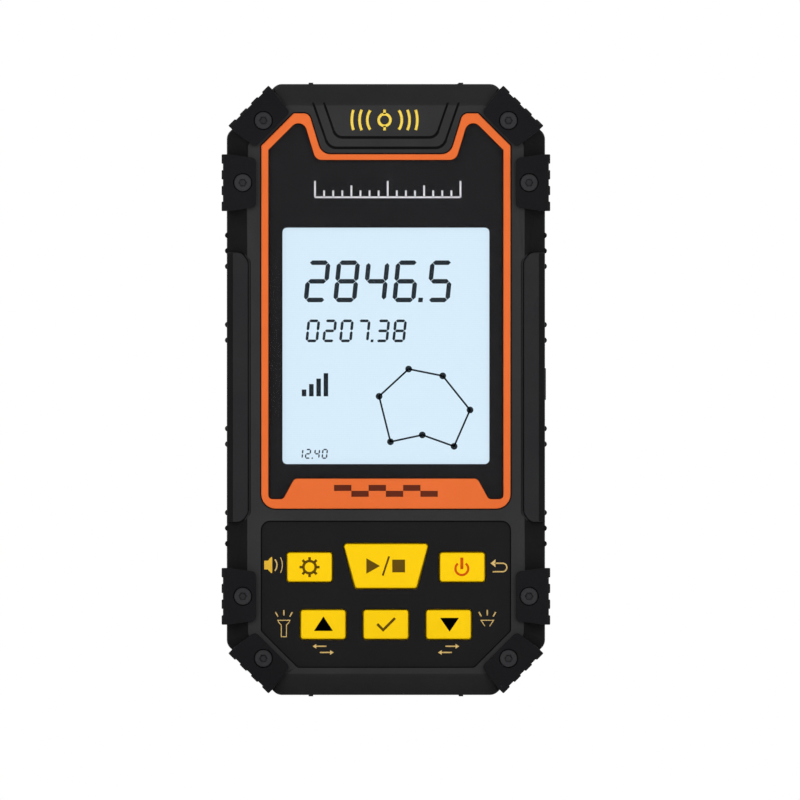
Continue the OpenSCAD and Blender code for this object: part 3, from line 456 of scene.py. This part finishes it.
def make_grips():
    """Four grip pads with soft edges; their outer bevels take the dark coat of the side slopes as painted
    shade.
    """
    finishes = (MATERIALS["grip_rubber"], MATERIALS["dark coat and painted shade"])
    for place in GRIPS:
        piece = refined("grip_" + place, "grip_pad_" + place, "grip_rubber", finishes,
                        {"width": 0.3, "segments": 3})
        for face in piece.data.polygons:
            outward = face.normal.x * math.copysign(1, face.center.x)
            face.material_index = 1 if BEVEL_FROM < outward < BEVEL_TO else 0


def in_front_of(y):
    """Test for the edges of a face at a given depth or in front of it."""
    return lambda middle: middle.y < y + NEAR


def make_trim():
    """Orange trim and the keypad face, each with a rounded front edge."""
    refined("trim_bezel", "screen_trim", "trim_plastic", [MATERIALS["trim_plastic"]],
            {"width": 0.24, "segments": 3, "low": SQUARE, "where": in_front_of(TRIM_Y)})
    refined("keypad_panel", "keypad_face", "black_print", [MATERIALS["black_print"]],
            {"width": 0.05, "segments": 2, "low": SQUARE, "where": in_front_of(PANEL_Y)})


def make_lens():
    """Lens with a fine rounded rim, its back just clear of the ink on the border behind it."""
    lens = refined("window_lens", "screen_lens", "clear_acrylic", [MATERIALS["clear_acrylic"]],
                   {"width": 0.12, "segments": 2, "low": SQUARE, "where": in_front_of(LENS_Y)})
    for vert in lens.data.vertices:
        vert.co.y = min(vert.co.y, (BORDER_Y - PRINT - CLEAR) * MM)


def make_torch():
    """Torch lens with a rounded rim."""
    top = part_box("torch_lens")[1].z / MM
    refined("torch_lens", "torch_window", "clear_acrylic", [MATERIALS["polished acrylic"]],
            {"width": 0.2, "segments": 3, "low": SQUARE, "where": lambda middle: middle.z > top - NEAR})


# Raised forms on the port cover: heights, rounding as a share of the height, and sizes of the finger ridges
SIGN_H = 0.15
RIDGE_H = 0.3
RAISED_ROUND = 0.4
RIDGE_W = 0.32
RIDGE_L = 7.0
RIDGE_PLACES = (-3.1, -2.4)


def rectangle(x, z, width, height):
    """Outline of a rectangle, from its lower left corner."""
    return [(x, z), (x + width, z), (x + width, z + height), (x, z + height)]


def raised_on_cover(name, outlines, height):
    """Raised rubber forms on the outer face of the port cover, drawn as (y, z) points from its middle."""
    low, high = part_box("port_cover")
    y, z = (low + high).yz / 2
    bm = bmesh.new()
    for outline in outlines:
        face = bm.faces.new([bm.verts.new((high.x, y + py * MM, z + pz * MM)) for py, pz in outline])
        raised = bmesh.ops.extrude_face_region(bm, geom=[face])
        top = [item for item in raised["geom"] if isinstance(item, bmesh.types.BMVert)]
        bmesh.ops.translate(bm, verts=top, vec=(height * MM, 0, 0))
    bmesh.ops.recalc_face_normals(bm, faces=bm.faces)
    upper = high.x / MM + height / 2
    round_edges(bm, height * RAISED_ROUND, 2, low=SQUARE, where=lambda middle: middle.x > upper)
    piece = link_mesh(name, bm, MATERIALS["grip_rubber"])
    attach(piece, "port_flap")


def make_port():
    """Port cover with soft edges, a raised charging sign and finger ridges, and the socket's rolled rim."""
    refined("port_cover", "port_flap_cover", "bumper_rubber", [MATERIALS["bumper_rubber"]],
            {"width": 0.25, "segments": 3, "low": SQUARE})
    refined("usb_socket", "charging_socket", "bare_steel", [MATERIALS["bare_steel"]],
            {"width": 0.12, "segments": 2, "low": SQUARE})
    bolt = [(-0.5, 2.4), (1.1, 0.4), (0.2, 0.3), (0.7, -2.2), (-0.9, -0.1), (0, 0)]
    raised_on_cover("port_cover_sign", [bolt], SIGN_H)
    ridges = [rectangle(y - RIDGE_W / 2, -RIDGE_L / 2, RIDGE_W, RIDGE_L) for y in RIDGE_PLACES]
    raised_on_cover("port_cover_ridges", ridges, RIDGE_H)


def make_keys():
    """Six keycaps with a rounded rim."""
    for key in KEYS:
        refined("key_" + key, "cap_" + key, "key_plastic", [MATERIALS["key_plastic"]],
                {"width": 0.4, "segments": 3, "low": SQUARE, "where": in_front_of(KEY_Y)})


# Prints, drawn as (x, z) points in millimetres

# Widths of lines: position sign, key legends, stem and ring of the power sign, thin marks, and pictograms
SIGN_LINE = 0.6
LEGEND_LINE = 0.55
STEM_LINE = 0.64
RING_LINE = 0.48
THIN_LINE = 0.4
BROAD_LINE = 0.3
FINE_LINE = 0.2
# Place of the sound sign from the middle of the settings key
SOUND_PLACE = (-7.9, 0.45)
# Arrows of the keypad: tip from the middle, length and half height of the head, and places in a pair
ARROW_TIP = 1.52
ARROW_HEAD = 0.8
ARROW_HALF = 0.52
PAIR_X = 0.8
PAIR_UPPER = 0.66
PAIR_LOWER = -0.7
# Gear of the settings key: number of teeth, radius of the ring, and radii of a tooth's ends
GEAR_TEETH = 8
GEAR_R = 1.35
TOOTH_ENDS = (1.55, 2.2)


def centre(node):
    """Middle of a node, seen from the front."""
    low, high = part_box(node)
    middle = (low + high) / 2 / MM
    return middle.x, middle.z


def moved(paths, x, z):
    """The same paths, moved to a place."""
    return [[(px + x, pz + z) for px, pz in path] for path in paths]


def beside(node, place, paths):
    """Paths drawn round a place that is given from the middle of a node."""
    x, z = centre(node)
    return moved(paths, x + place[0], z + place[1])


def arc(x, z, radius, start, end, steps=16):
    """Points along an arc, its angles in degrees from +X towards +Z."""
    angles = [math.radians(start + (end - start) * i / steps) for i in range(steps + 1)]
    return [(x + radius * math.cos(a), z + radius * math.sin(a)) for a in angles]


def circle(x, z, radius, steps):
    """Points round a circle, the last one the same as the first."""
    points = arc(x, z, radius, 0, 360, steps)
    return points[:-1] + points[:1]


def print_lines(name, body, ink, y, width, paths):
    """Lines of one width, printed on a face at depth y: upright ribbons that a modifier widens."""
    bm = bmesh.new()
    for path in paths:
        closed = path[0] == path[-1]
        verts = [bm.verts.new((x * MM, y * MM, z * MM)) for x, z in (path[:-1] if closed else path)]
        edges = [bm.edges.new(pair) for pair in zip(verts, verts[1:] + verts[:1] * closed)]
        ribbon = bmesh.ops.extrude_edge_only(bm, edges=edges)
        front = [item for item in ribbon["geom"] if isinstance(item, bmesh.types.BMVert)]
        bmesh.ops.translate(bm, verts=front, vec=(0, -PRINT * MM, 0))
    piece = link_mesh(name, bm, MATERIALS[ink])
    widen = piece.modifiers.new("width", "SOLIDIFY")
    widen.thickness = width * MM
    widen.offset = 0
    widen.use_even_offset = True
    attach(piece, body)


def print_shapes(name, body, ink, y, outlines):
    """Filled shapes, printed on a face at depth y."""
    bm = bmesh.new()
    for outline in outlines:
        verts = [bm.verts.new((x * MM, y * MM, z * MM)) for x, z in outline]
        face = bm.faces.new(verts)
        raised = bmesh.ops.extrude_face_region(bm, geom=[face])
        front = [item for item in raised["geom"] if isinstance(item, bmesh.types.BMVert)]
        bmesh.ops.translate(bm, verts=front, vec=(0, -PRINT * MM, 0))
    bmesh.ops.recalc_face_normals(bm, faces=bm.faces)
    piece = link_mesh(name, bm, MATERIALS[ink])
    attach(piece, body)


def arrow(turn):
    """Line and filled head of an arrow along X through the origin; turn is 1 for right and -1 for left."""
    tip = turn * ARROW_TIP
    neck = tip - turn * ARROW_HEAD
    return [[(-tip, 0), (neck, 0)]], [[(tip, 0), (neck, ARROW_HALF), (neck, -ARROW_HALF)]]


def arrow_pair(turn):
    """Two arrows, the upper one towards turn and the lower one away from it."""
    lines, heads = [], []
    for way, z in ((turn, PAIR_UPPER), (-turn, PAIR_LOWER)):
        line, head = arrow(way)
        lines += moved(line, way * PAIR_X, z)
        heads += moved(head, way * PAIR_X, z)
    return lines, [], heads


def lamp_rays(z):
    """Three short rays above a lamp."""
    left = [(-1.85, z + 1.05), (-1.3, z + 0.05)]
    middle = [(0, z + 1.5), (0, z + 0.3)]
    right = [(1.85, z + 1.05), (1.3, z + 0.05)]
    return [left, middle, right]


def panel_prints():
    """Gold pictograms beside the keys: sound, torch, back, lamp and paired arrows.

    Each picture has broad lines, fine lines and filled shapes.
    """
    speaker = [[
        (-2.07, 0.95), (-1.3, 0.95), (-0.57, 1.75), (-0.31, 1.75),
        (-0.31, -1.75), (-0.57, -1.75), (-1.3, -0.95), (-2.07, -0.95),
    ]]
    sound = [arc(-1.16, 0, 1.89, -42, 42)], [arc(-1.87, 0, 3.78, -27, 27)], []
    torch = lamp_rays(1.47), [[
        (-1.32, 0.73), (1.32, 0.73), (1.08, 0.2), (0.57, -0.3), (0.57, -2.89),
        (-0.57, -2.89), (-0.57, -0.3), (-1.08, 0.2), (-1.32, 0.73),
    ]], []
    hook = [[(-1.0, 0.55)] + arc(0.78, -0.38, 0.93, 90, -90) + [(-1.42, -1.31)]]
    back = hook, [], [[(-1.87, 0.55), (-0.8, 1.42), (-0.8, -0.32)]]
    lamp = lamp_rays(0.2), [[(-0.52, -1.9), (-1.37, -0.57), (1.37, -0.57), (0.52, -1.9)]], []
    lines, outlines, solids = [], [], []
    for node, place, picture in (
        ("key_settings", SOUND_PLACE, sound),
        ("key_up", (-8.65, 0.2), torch),
        ("key_up", (0, -5.45), arrow_pair(-1)),
        ("key_power", (8.1, 0.3), back),
        ("key_down", (8.5, 1.5), lamp),
        ("key_down", (0, -5.45), arrow_pair(1)),
    ):
        for drawn, part in zip((lines, outlines, solids), picture):
            drawn += beside(node, place, part)
    print_lines("panel_pictograms", "case", "gold ink", PANEL_Y, BROAD_LINE, lines)
    print_lines("panel_pictogram_outlines", "case", "gold ink", PANEL_Y, FINE_LINE, outlines)
    print_shapes("panel_pictogram_heads", "case", "gold ink", PANEL_Y, solids)
    placed = beside("key_settings", SOUND_PLACE, speaker)
    print_shapes("panel_sound_sign", "case", "deep gold ink", PANEL_Y, placed)


def key_lines(key, part, ink, width, paths):
    """Lines on the face of a key, drawn round its middle."""
    print_lines("legend_" + part, "button_" + key, ink, KEY_Y, width, moved(paths, *centre("key_" + key)))


def key_shapes(key, ink, outlines):
    """Filled shapes on the face of a key, drawn round its middle."""
    print_shapes("legend_" + key, "button_" + key, ink, KEY_Y, moved(outlines, *centre("key_" + key)))


def key_prints():
    """Legends on the keys: gear, play and stop, power, triangles and a tick."""
    gear = [circle(0, 0, GEAR_R, 32)]
    for i in range(GEAR_TEETH):
        turn = math.radians(360 / GEAR_TEETH * i)
        gear.append([(r * math.cos(turn), r * math.sin(turn)) for r in TOOTH_ENDS])
    play = [(-4.3, 1.7), (-1.3, 0), (-4.3, -1.7)]
    stop = rectangle(1.4, -1.4, 2.8, 2.8)
    key_lines("settings", "settings", "brown ink", LEGEND_LINE, gear)
    key_shapes("start_stop", "brown ink", [play, stop])
    key_lines("start_stop", "start_stop_divider", "brown ink", THIN_LINE, [[(-0.7, -2.1), (0.7, 2.1)]])
    key_lines("power", "power", "red ink", RING_LINE, [arc(-0.1, -0.33, 1.41, 128, 412, 28)])
    key_lines("power", "power_stem", "red ink", STEM_LINE, [[(-0.1, 2.1), (-0.1, -0.45)]])
    key_shapes("up", "black ink", [[(-2.02, -1.41), (0.06, 1.75), (2.14, -1.41)]])
    key_shapes("down", "black ink", [[(-1.86, 1.45), (0.2, -1.57), (2.26, 1.45)]])
    key_lines("enter", "enter", "brown ink", LEGEND_LINE, [[(-1.9, 0.1), (-0.6, -1.2), (2, 1.4)]])


# Seven-segment digits: both ends of each segment in a cell one unit wide and two units high
SEGMENTS = {
    "a": ((0, 2), (1, 2)),
    "b": ((1, 1), (1, 2)),
    "c": ((1, 0), (1, 1)),
    "d": ((0, 0), (1, 0)),
    "e": ((0, 0), (0, 1)),
    "f": ((0, 1), (0, 2)),
    "g": ((0, 1), (1, 1)),
}
# Gap at each end of a segment, and how far the digits lean for their height
SEGMENT_GAP = 0.06
LEAN = 0.1
# Places of a decimal point and of the digit behind it, as shares of the digits' pitch
POINT_BACK = 0.12
POINT_ROOM = 0.16
# Segments that each digit lights
LIT = {"0": "abcdef", "1": "bc", "2": "abged", "3": "abgcd", "4": "fgbc", "5": "afgcd",
       "6": "afgedc", "7": "abc", "8": "abcdefg", "9": "abcdfg"}


def segment(start, end, thick):
    """Outline of a segment with pointed ends, which stops a little short of its corners."""
    along = (end - start).normalized()
    point = along * thick / 2
    side = Vector((-along.y, along.x)) * thick / 2
    low = start + along * SEGMENT_GAP
    high = end - along * SEGMENT_GAP
    return [low, low + point - side, high - point - side, high, high - point + side, low + point + side]


def digits(number, x, z, width, thick, pitch):
    """Outlines of a number in leaning seven-segment digits, from its lower left corner."""
    outlines = []
    for character in number:
        if character == ".":
            middle = x - POINT_BACK * pitch
            outlines.append(rectangle(middle - thick / 2, -thick / 2, thick, thick))
            x += POINT_ROOM * pitch
            continue
        corner = Vector((x, 0))
        for name in LIT[character]:
            low, high = (corner + Vector(end) * width for end in SEGMENTS[name])
            outlines.append(segment(low, high, thick))
        x += pitch
    return [[(px + pz * LEAN, pz + z) for px, pz in outline] for outline in outlines]


# Signal bars on the LCD: the first one's place and height, and the step to the next
BARS = 4
BARS_X = -18.0
BARS_Z = 66.0
BAR_W = 1.0
BAR_H = 1.5
BAR_STEP = 1.6
BAR_RISE = 1.2
# Radius of the dots on the corners of the field
CORNER_R = 0.75


def screen_prints():
    """Measured values, a clock, signal bars and a field outline on the LCD."""
    for name, number, x, z, width, thick, pitch in (
        ("area_value", "2846.5", -17.6, 87.2, 4.1, 1.0, 6.5),
        ("length_value", "0207.38", -17.4, 78.2, 2.2, 0.6, 3.7),
        ("clock", "12.40", -19.4, 52.4, 0.95, 0.3, 1.7),
    ):
        print_shapes("lcd_" + name, "case", "LCD ink", LCD_Y, digits(number, x, z, width, thick, pitch))
    field = [(1, 56), (-1.5, 66), (5, 72), (12.5, 70.5), (18.5, 63), (15, 55), (8, 57.5), (1, 56)]
    corners = [circle(x, z, CORNER_R, 24)[:-1] for x, z in field[:-1]]
    print_lines("lcd_field_outline", "case", "LCD ink", LCD_Y, THIN_LINE, [field])
    print_shapes("lcd_field_corners", "case", "LCD ink", LCD_Y, corners)
    bars = []
    for i in range(BARS):
        x = BARS_X + BAR_STEP * i
        bars.append([(x, BARS_Z), (x, BARS_Z + BAR_H + BAR_RISE * i)])
    print_lines("lcd_signal_bars", "case", "LCD ink", LCD_Y, BAR_W, bars)


# Position sign on the top plate: its middle, its ring, its ticks, and the radius and half angle of each wave
SIGN_X = -0.3
SIGN_Z = 126.8
SIGN_R = 1.3
SIGN_TICK = 1.0
SIGN_WAVES = ((3.8, 34), (5.5, 24), (7.2, 18))
# Ruler on the border of the lens: its left end, its steps, and the heights of its ticks
RULER_X = -15.6
RULER_Z = 109.8
RULER_STEP = 2.0
RULER_STEPS = 16
LONG_TICK = 3.6
MIDDLE_TICK = 2.6
SHORT_TICK = 1.5
# Map scale on the plate of the trim: two rows of blocks round the middle of the case
BLOCKS = 6
BLOCK_W = 3.8
BLOCK_H = 1.3
BLOCKS_Z = 43.9


def position_sign():
    """Ring with an upright tick at its top and foot, and signal waves to both sides."""
    paths = [circle(SIGN_X, SIGN_Z, SIGN_R, 28)]
    for way in (-1, 1):
        inner = SIGN_Z + way * SIGN_R
        paths.append([(SIGN_X, inner), (SIGN_X, inner + way * SIGN_TICK)])
    for towards in (0, 180):
        for radius, half in SIGN_WAVES:
            paths.append(arc(SIGN_X, SIGN_Z, radius, towards - half, towards + half))
    return paths


def ruler():
    """Line with ticks: every eighth is long and every fourth is middling."""
    paths = [[(RULER_X, RULER_Z), (RULER_X + RULER_STEP * RULER_STEPS, RULER_Z)]]
    for i in range(RULER_STEPS + 1):
        x = RULER_X + RULER_STEP * i
        height = SHORT_TICK
        if i % 4 == 0:
            height = MIDDLE_TICK
        if i % 8 == 0:
            height = LONG_TICK
        paths.append([(x, RULER_Z), (x, RULER_Z + height)])
    return paths


def map_scale():
    """Blocks that stand by turns in an upper and a lower row."""
    blocks = []
    for i in range(BLOCKS):
        x = (i - BLOCKS / 2) * BLOCK_W
        z = BLOCKS_Z + BLOCK_H if i % 2 == 0 else BLOCKS_Z
        blocks.append(rectangle(x, z, BLOCK_W, BLOCK_H))
    return blocks


def case_prints():
    """Generic marks on the face: a position sign, a ruler and a map scale."""
    print_lines("position_sign", "case", "yellow ink", PLANE_Y, SIGN_LINE, position_sign())
    print_lines("lens_ruler", "case", "pale ink", BORDER_Y, THIN_LINE, ruler())
    print_shapes("plate_scale", "case", "dark plate ink", TRIM_Y, map_scale())


# Screws

# Outline of the case, cut off at its corners, and the places of the screws inside it
SIDE_X = 35.0
TOP_Z = 134.7
BASE_Z = 0.3
CORNER_LEG = 11.1
SIDE_LUG_Z = 45.5
SCREW_INSET = 3.5
# A button-head screw with a hex socket
HEAD_R = 1.9
HEAD_H = 1.0
HEAD_ROUND = 0.3
SHANK_R = 1.0
HEX_R = 0.98
HEX_SLOPE = 0.28
HEX_DEPTH = 0.7
HEAD_SIDES = 36
SHANK_SIDES = 24


def screw_places():
    """Centres of the eight screws on one face."""
    middle = (BASE_Z + TOP_Z) / 2
    inward = CORNER_LEG / 2 + SCREW_INSET / math.sqrt(2)
    places = []
    for side in (-1, 1):
        places += [(side * (SIDE_X - SCREW_INSET), middle + end * SIDE_LUG_Z) for end in (-1, 1)]
        places += [(side * (SIDE_X - inward), z) for z in (BASE_Z + inward, TOP_Z - inward)]
    return places


def screw_mesh(shank):
    """One button-head screw along +Z, the top of its head at the origin."""
    def top_face():
        return max(bm.faces, key=lambda face: (round(face.calc_center_median().z / MM, 3), len(face.verts)))

    bm = bmesh.new()
    bmesh.ops.create_cone(
        bm, cap_ends=True, segments=HEAD_SIDES, radius1=HEAD_R * MM, radius2=HEAD_R * MM, depth=HEAD_H * MM,
        matrix=Matrix.Translation((0, 0, -HEAD_H / 2 * MM)),
    )
    bmesh.ops.bevel(
        bm, geom=list(top_face().edges), offset=HEAD_ROUND * MM, offset_type="OFFSET", segments=4,
        profile=0.5, affect="EDGES", material=-1,
    )
    bmesh.ops.inset_region(bm, faces=[top_face()], thickness=(HEAD_R - HEAD_ROUND - HEX_R) * MM)
    sixth = math.radians(60)
    for vert in top_face().verts:
        turn = math.atan2(vert.co.y, vert.co.x) % sixth - sixth / 2
        radius = HEX_R * math.cos(sixth / 2) / math.cos(turn) * MM
        vert.co.xy = vert.co.xy.normalized() * radius
    bmesh.ops.inset_region(bm, faces=[top_face()], thickness=HEX_SLOPE * MM, depth=-HEX_DEPTH * MM)
    bmesh.ops.create_cone(
        bm, cap_ends=True, segments=SHANK_SIDES, radius1=SHANK_R * MM, radius2=SHANK_R * MM, depth=shank,
        matrix=Matrix.Translation((0, 0, -HEAD_H * MM - shank / 2)),
    )
    mesh = bpy.data.meshes.new("screw")
    bm.to_mesh(mesh)
    bm.free()
    return mesh


def make_screws():
    """Button heads with a shallow hex socket, on the front and on the back."""
    for node, name, side in (
        ("bumper_screws", "bumper_screw_heads", -1),
        ("case_screws", "case_screw_heads", 1),
    ):
        low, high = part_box(node)
        face = low.y if side < 0 else high.y
        single = screw_mesh(high.y - low.y - HEAD_H * MM)
        turn = Matrix.Rotation(math.radians(-90 * side), 4, "X")
        bm = bmesh.new()
        for x, z in screw_places():
            done = len(bm.verts)
            bm.from_mesh(single)
            place = Matrix.Translation((x * MM, face, z * MM)) @ turn
            bmesh.ops.transform(bm, matrix=place, verts=bm.verts[done:])
        bpy.data.meshes.remove(single)
        piece = link_mesh(name, bm, MATERIALS["black_steel"])
        even_shading(piece)
        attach(piece, "case")
        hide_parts(node)


# Stage, light and camera

# A pixel's size at the object, the image's width in pixels, its middle, and the camera's distance
PIXEL = 0.22
IMAGE = 800
CENTRE_X = 3.10
CENTRE_Z = 65.19
DISTANCE = 600.0
# Strength of the even light, glow of the floor where it is looked at, and half the floor's width in metres
AMBIENT = 0.3
FLOOR_GLOW = 0.74
FLOOR_HALF = 3.0


def make_camera():
    """Parallel view from straight in front, as through a very long lens."""
    camera = bpy.data.cameras.new("camera")
    camera.type = "ORTHO"
    camera.ortho_scale = IMAGE * PIXEL * MM
    holder = bpy.data.objects.new("camera", camera)
    holder.location = (CENTRE_X * MM, (PLANE_Y - DISTANCE) * MM, CENTRE_Z * MM)
    holder.rotation_euler = (math.radians(90), 0, 0)
    bpy.context.scene.collection.objects.link(holder)
    bpy.context.scene.camera = holder


def for_background_rays(tree, plain, seen):
    """One shade for rays that look at the background, straight or reflected; a plain one for the rest."""
    path = add(tree, "ShaderNodeLightPath")
    straight = add(tree, "ShaderNodeMath", {
        0: path.outputs["Is Camera Ray"], 1: path.outputs["Is Glossy Ray"],
    }, operation="MAXIMUM")
    looking = add(tree, "ShaderNodeMath", {
        0: straight.outputs["Value"], 1: path.outputs["Is Transmission Ray"],
    }, operation="MAXIMUM")
    return add(tree, "ShaderNodeMixShader", {0: looking.outputs["Value"], 1: plain, 2: seen}).outputs[0]


def make_world():
    """Even studio light, which shows as white."""
    world = bpy.data.worlds.new("studio")
    bpy.context.scene.world = world
    world.use_nodes = True
    tree = world.node_tree
    tree.nodes.clear()
    ambient = add(tree, "ShaderNodeBackground", {"Color": (1, 1, 1, 1), "Strength": AMBIENT})
    white = add(tree, "ShaderNodeBackground", {"Color": (1, 1, 1, 1), "Strength": 1.0})
    shade = for_background_rays(tree, ambient.outputs[0], white.outputs[0])
    add(tree, "ShaderNodeOutputWorld", {"Surface": shade})


def make_floor():
    """Pale floor, lifted to white where the lamps reach it, so that it keeps the shadow."""
    pale, tree, shader = surface("pale floor", **{"Base Color": linear("#f2f2f2"), "Roughness": 0.8})
    lift = add(tree, "ShaderNodeEmission", {"Color": (1, 1, 1, 1), "Strength": FLOOR_GLOW})
    lifted = add(tree, "ShaderNodeAddShader", {0: shader.outputs[0], 1: lift.outputs[0]})
    output = next(node for node in tree.nodes if node.type == "OUTPUT_MATERIAL")
    shade = for_background_rays(tree, shader.outputs[0], lifted.outputs[0])
    tree.links.new(shade, output.inputs["Surface"])
    bm = bmesh.new()
    bmesh.ops.create_grid(bm, x_segments=1, y_segments=1, size=FLOOR_HALF)
    link_mesh("floor", bm, pale)


def make_lamps():
    """Soft lamps on both sides: a close pair in front, and a wide pair behind for the sides and the back.

    Their places are in metres and their powers in watts.
    """
    for name, x, y, z, power in (("front", 0.55, -1.8, 0.6, 11.4), ("back", 1.45, 1.3, 1.1, 27.0)):
        for side, end in ((-1, "_lamp_left"), (1, "_lamp_right")):
            lamp = bpy.data.lights.new(name + end, "AREA")
            lamp.shape = "SQUARE"
            lamp.size = 1.0
            lamp.energy = power
            holder = bpy.data.objects.new(lamp.name, lamp)
            holder.location = (side * x, y, z)
            aim = Vector((0, 0, MIDDLE_Z * MM)) - holder.location
            holder.rotation_euler = aim.to_track_quat("-Z", "Y").to_euler()
            bpy.context.scene.collection.objects.link(holder)


bpy.context.scene.view_settings.view_transform = "Standard"
make_camera()
make_world()
make_floor()
make_lamps()
dress_nodes()
make_case()
make_bumpers()
make_grips()
make_trim()
make_lens()
make_torch()
make_port()
make_keys()
make_screws()
panel_prints()
key_prints()
screen_prints()
case_prints()
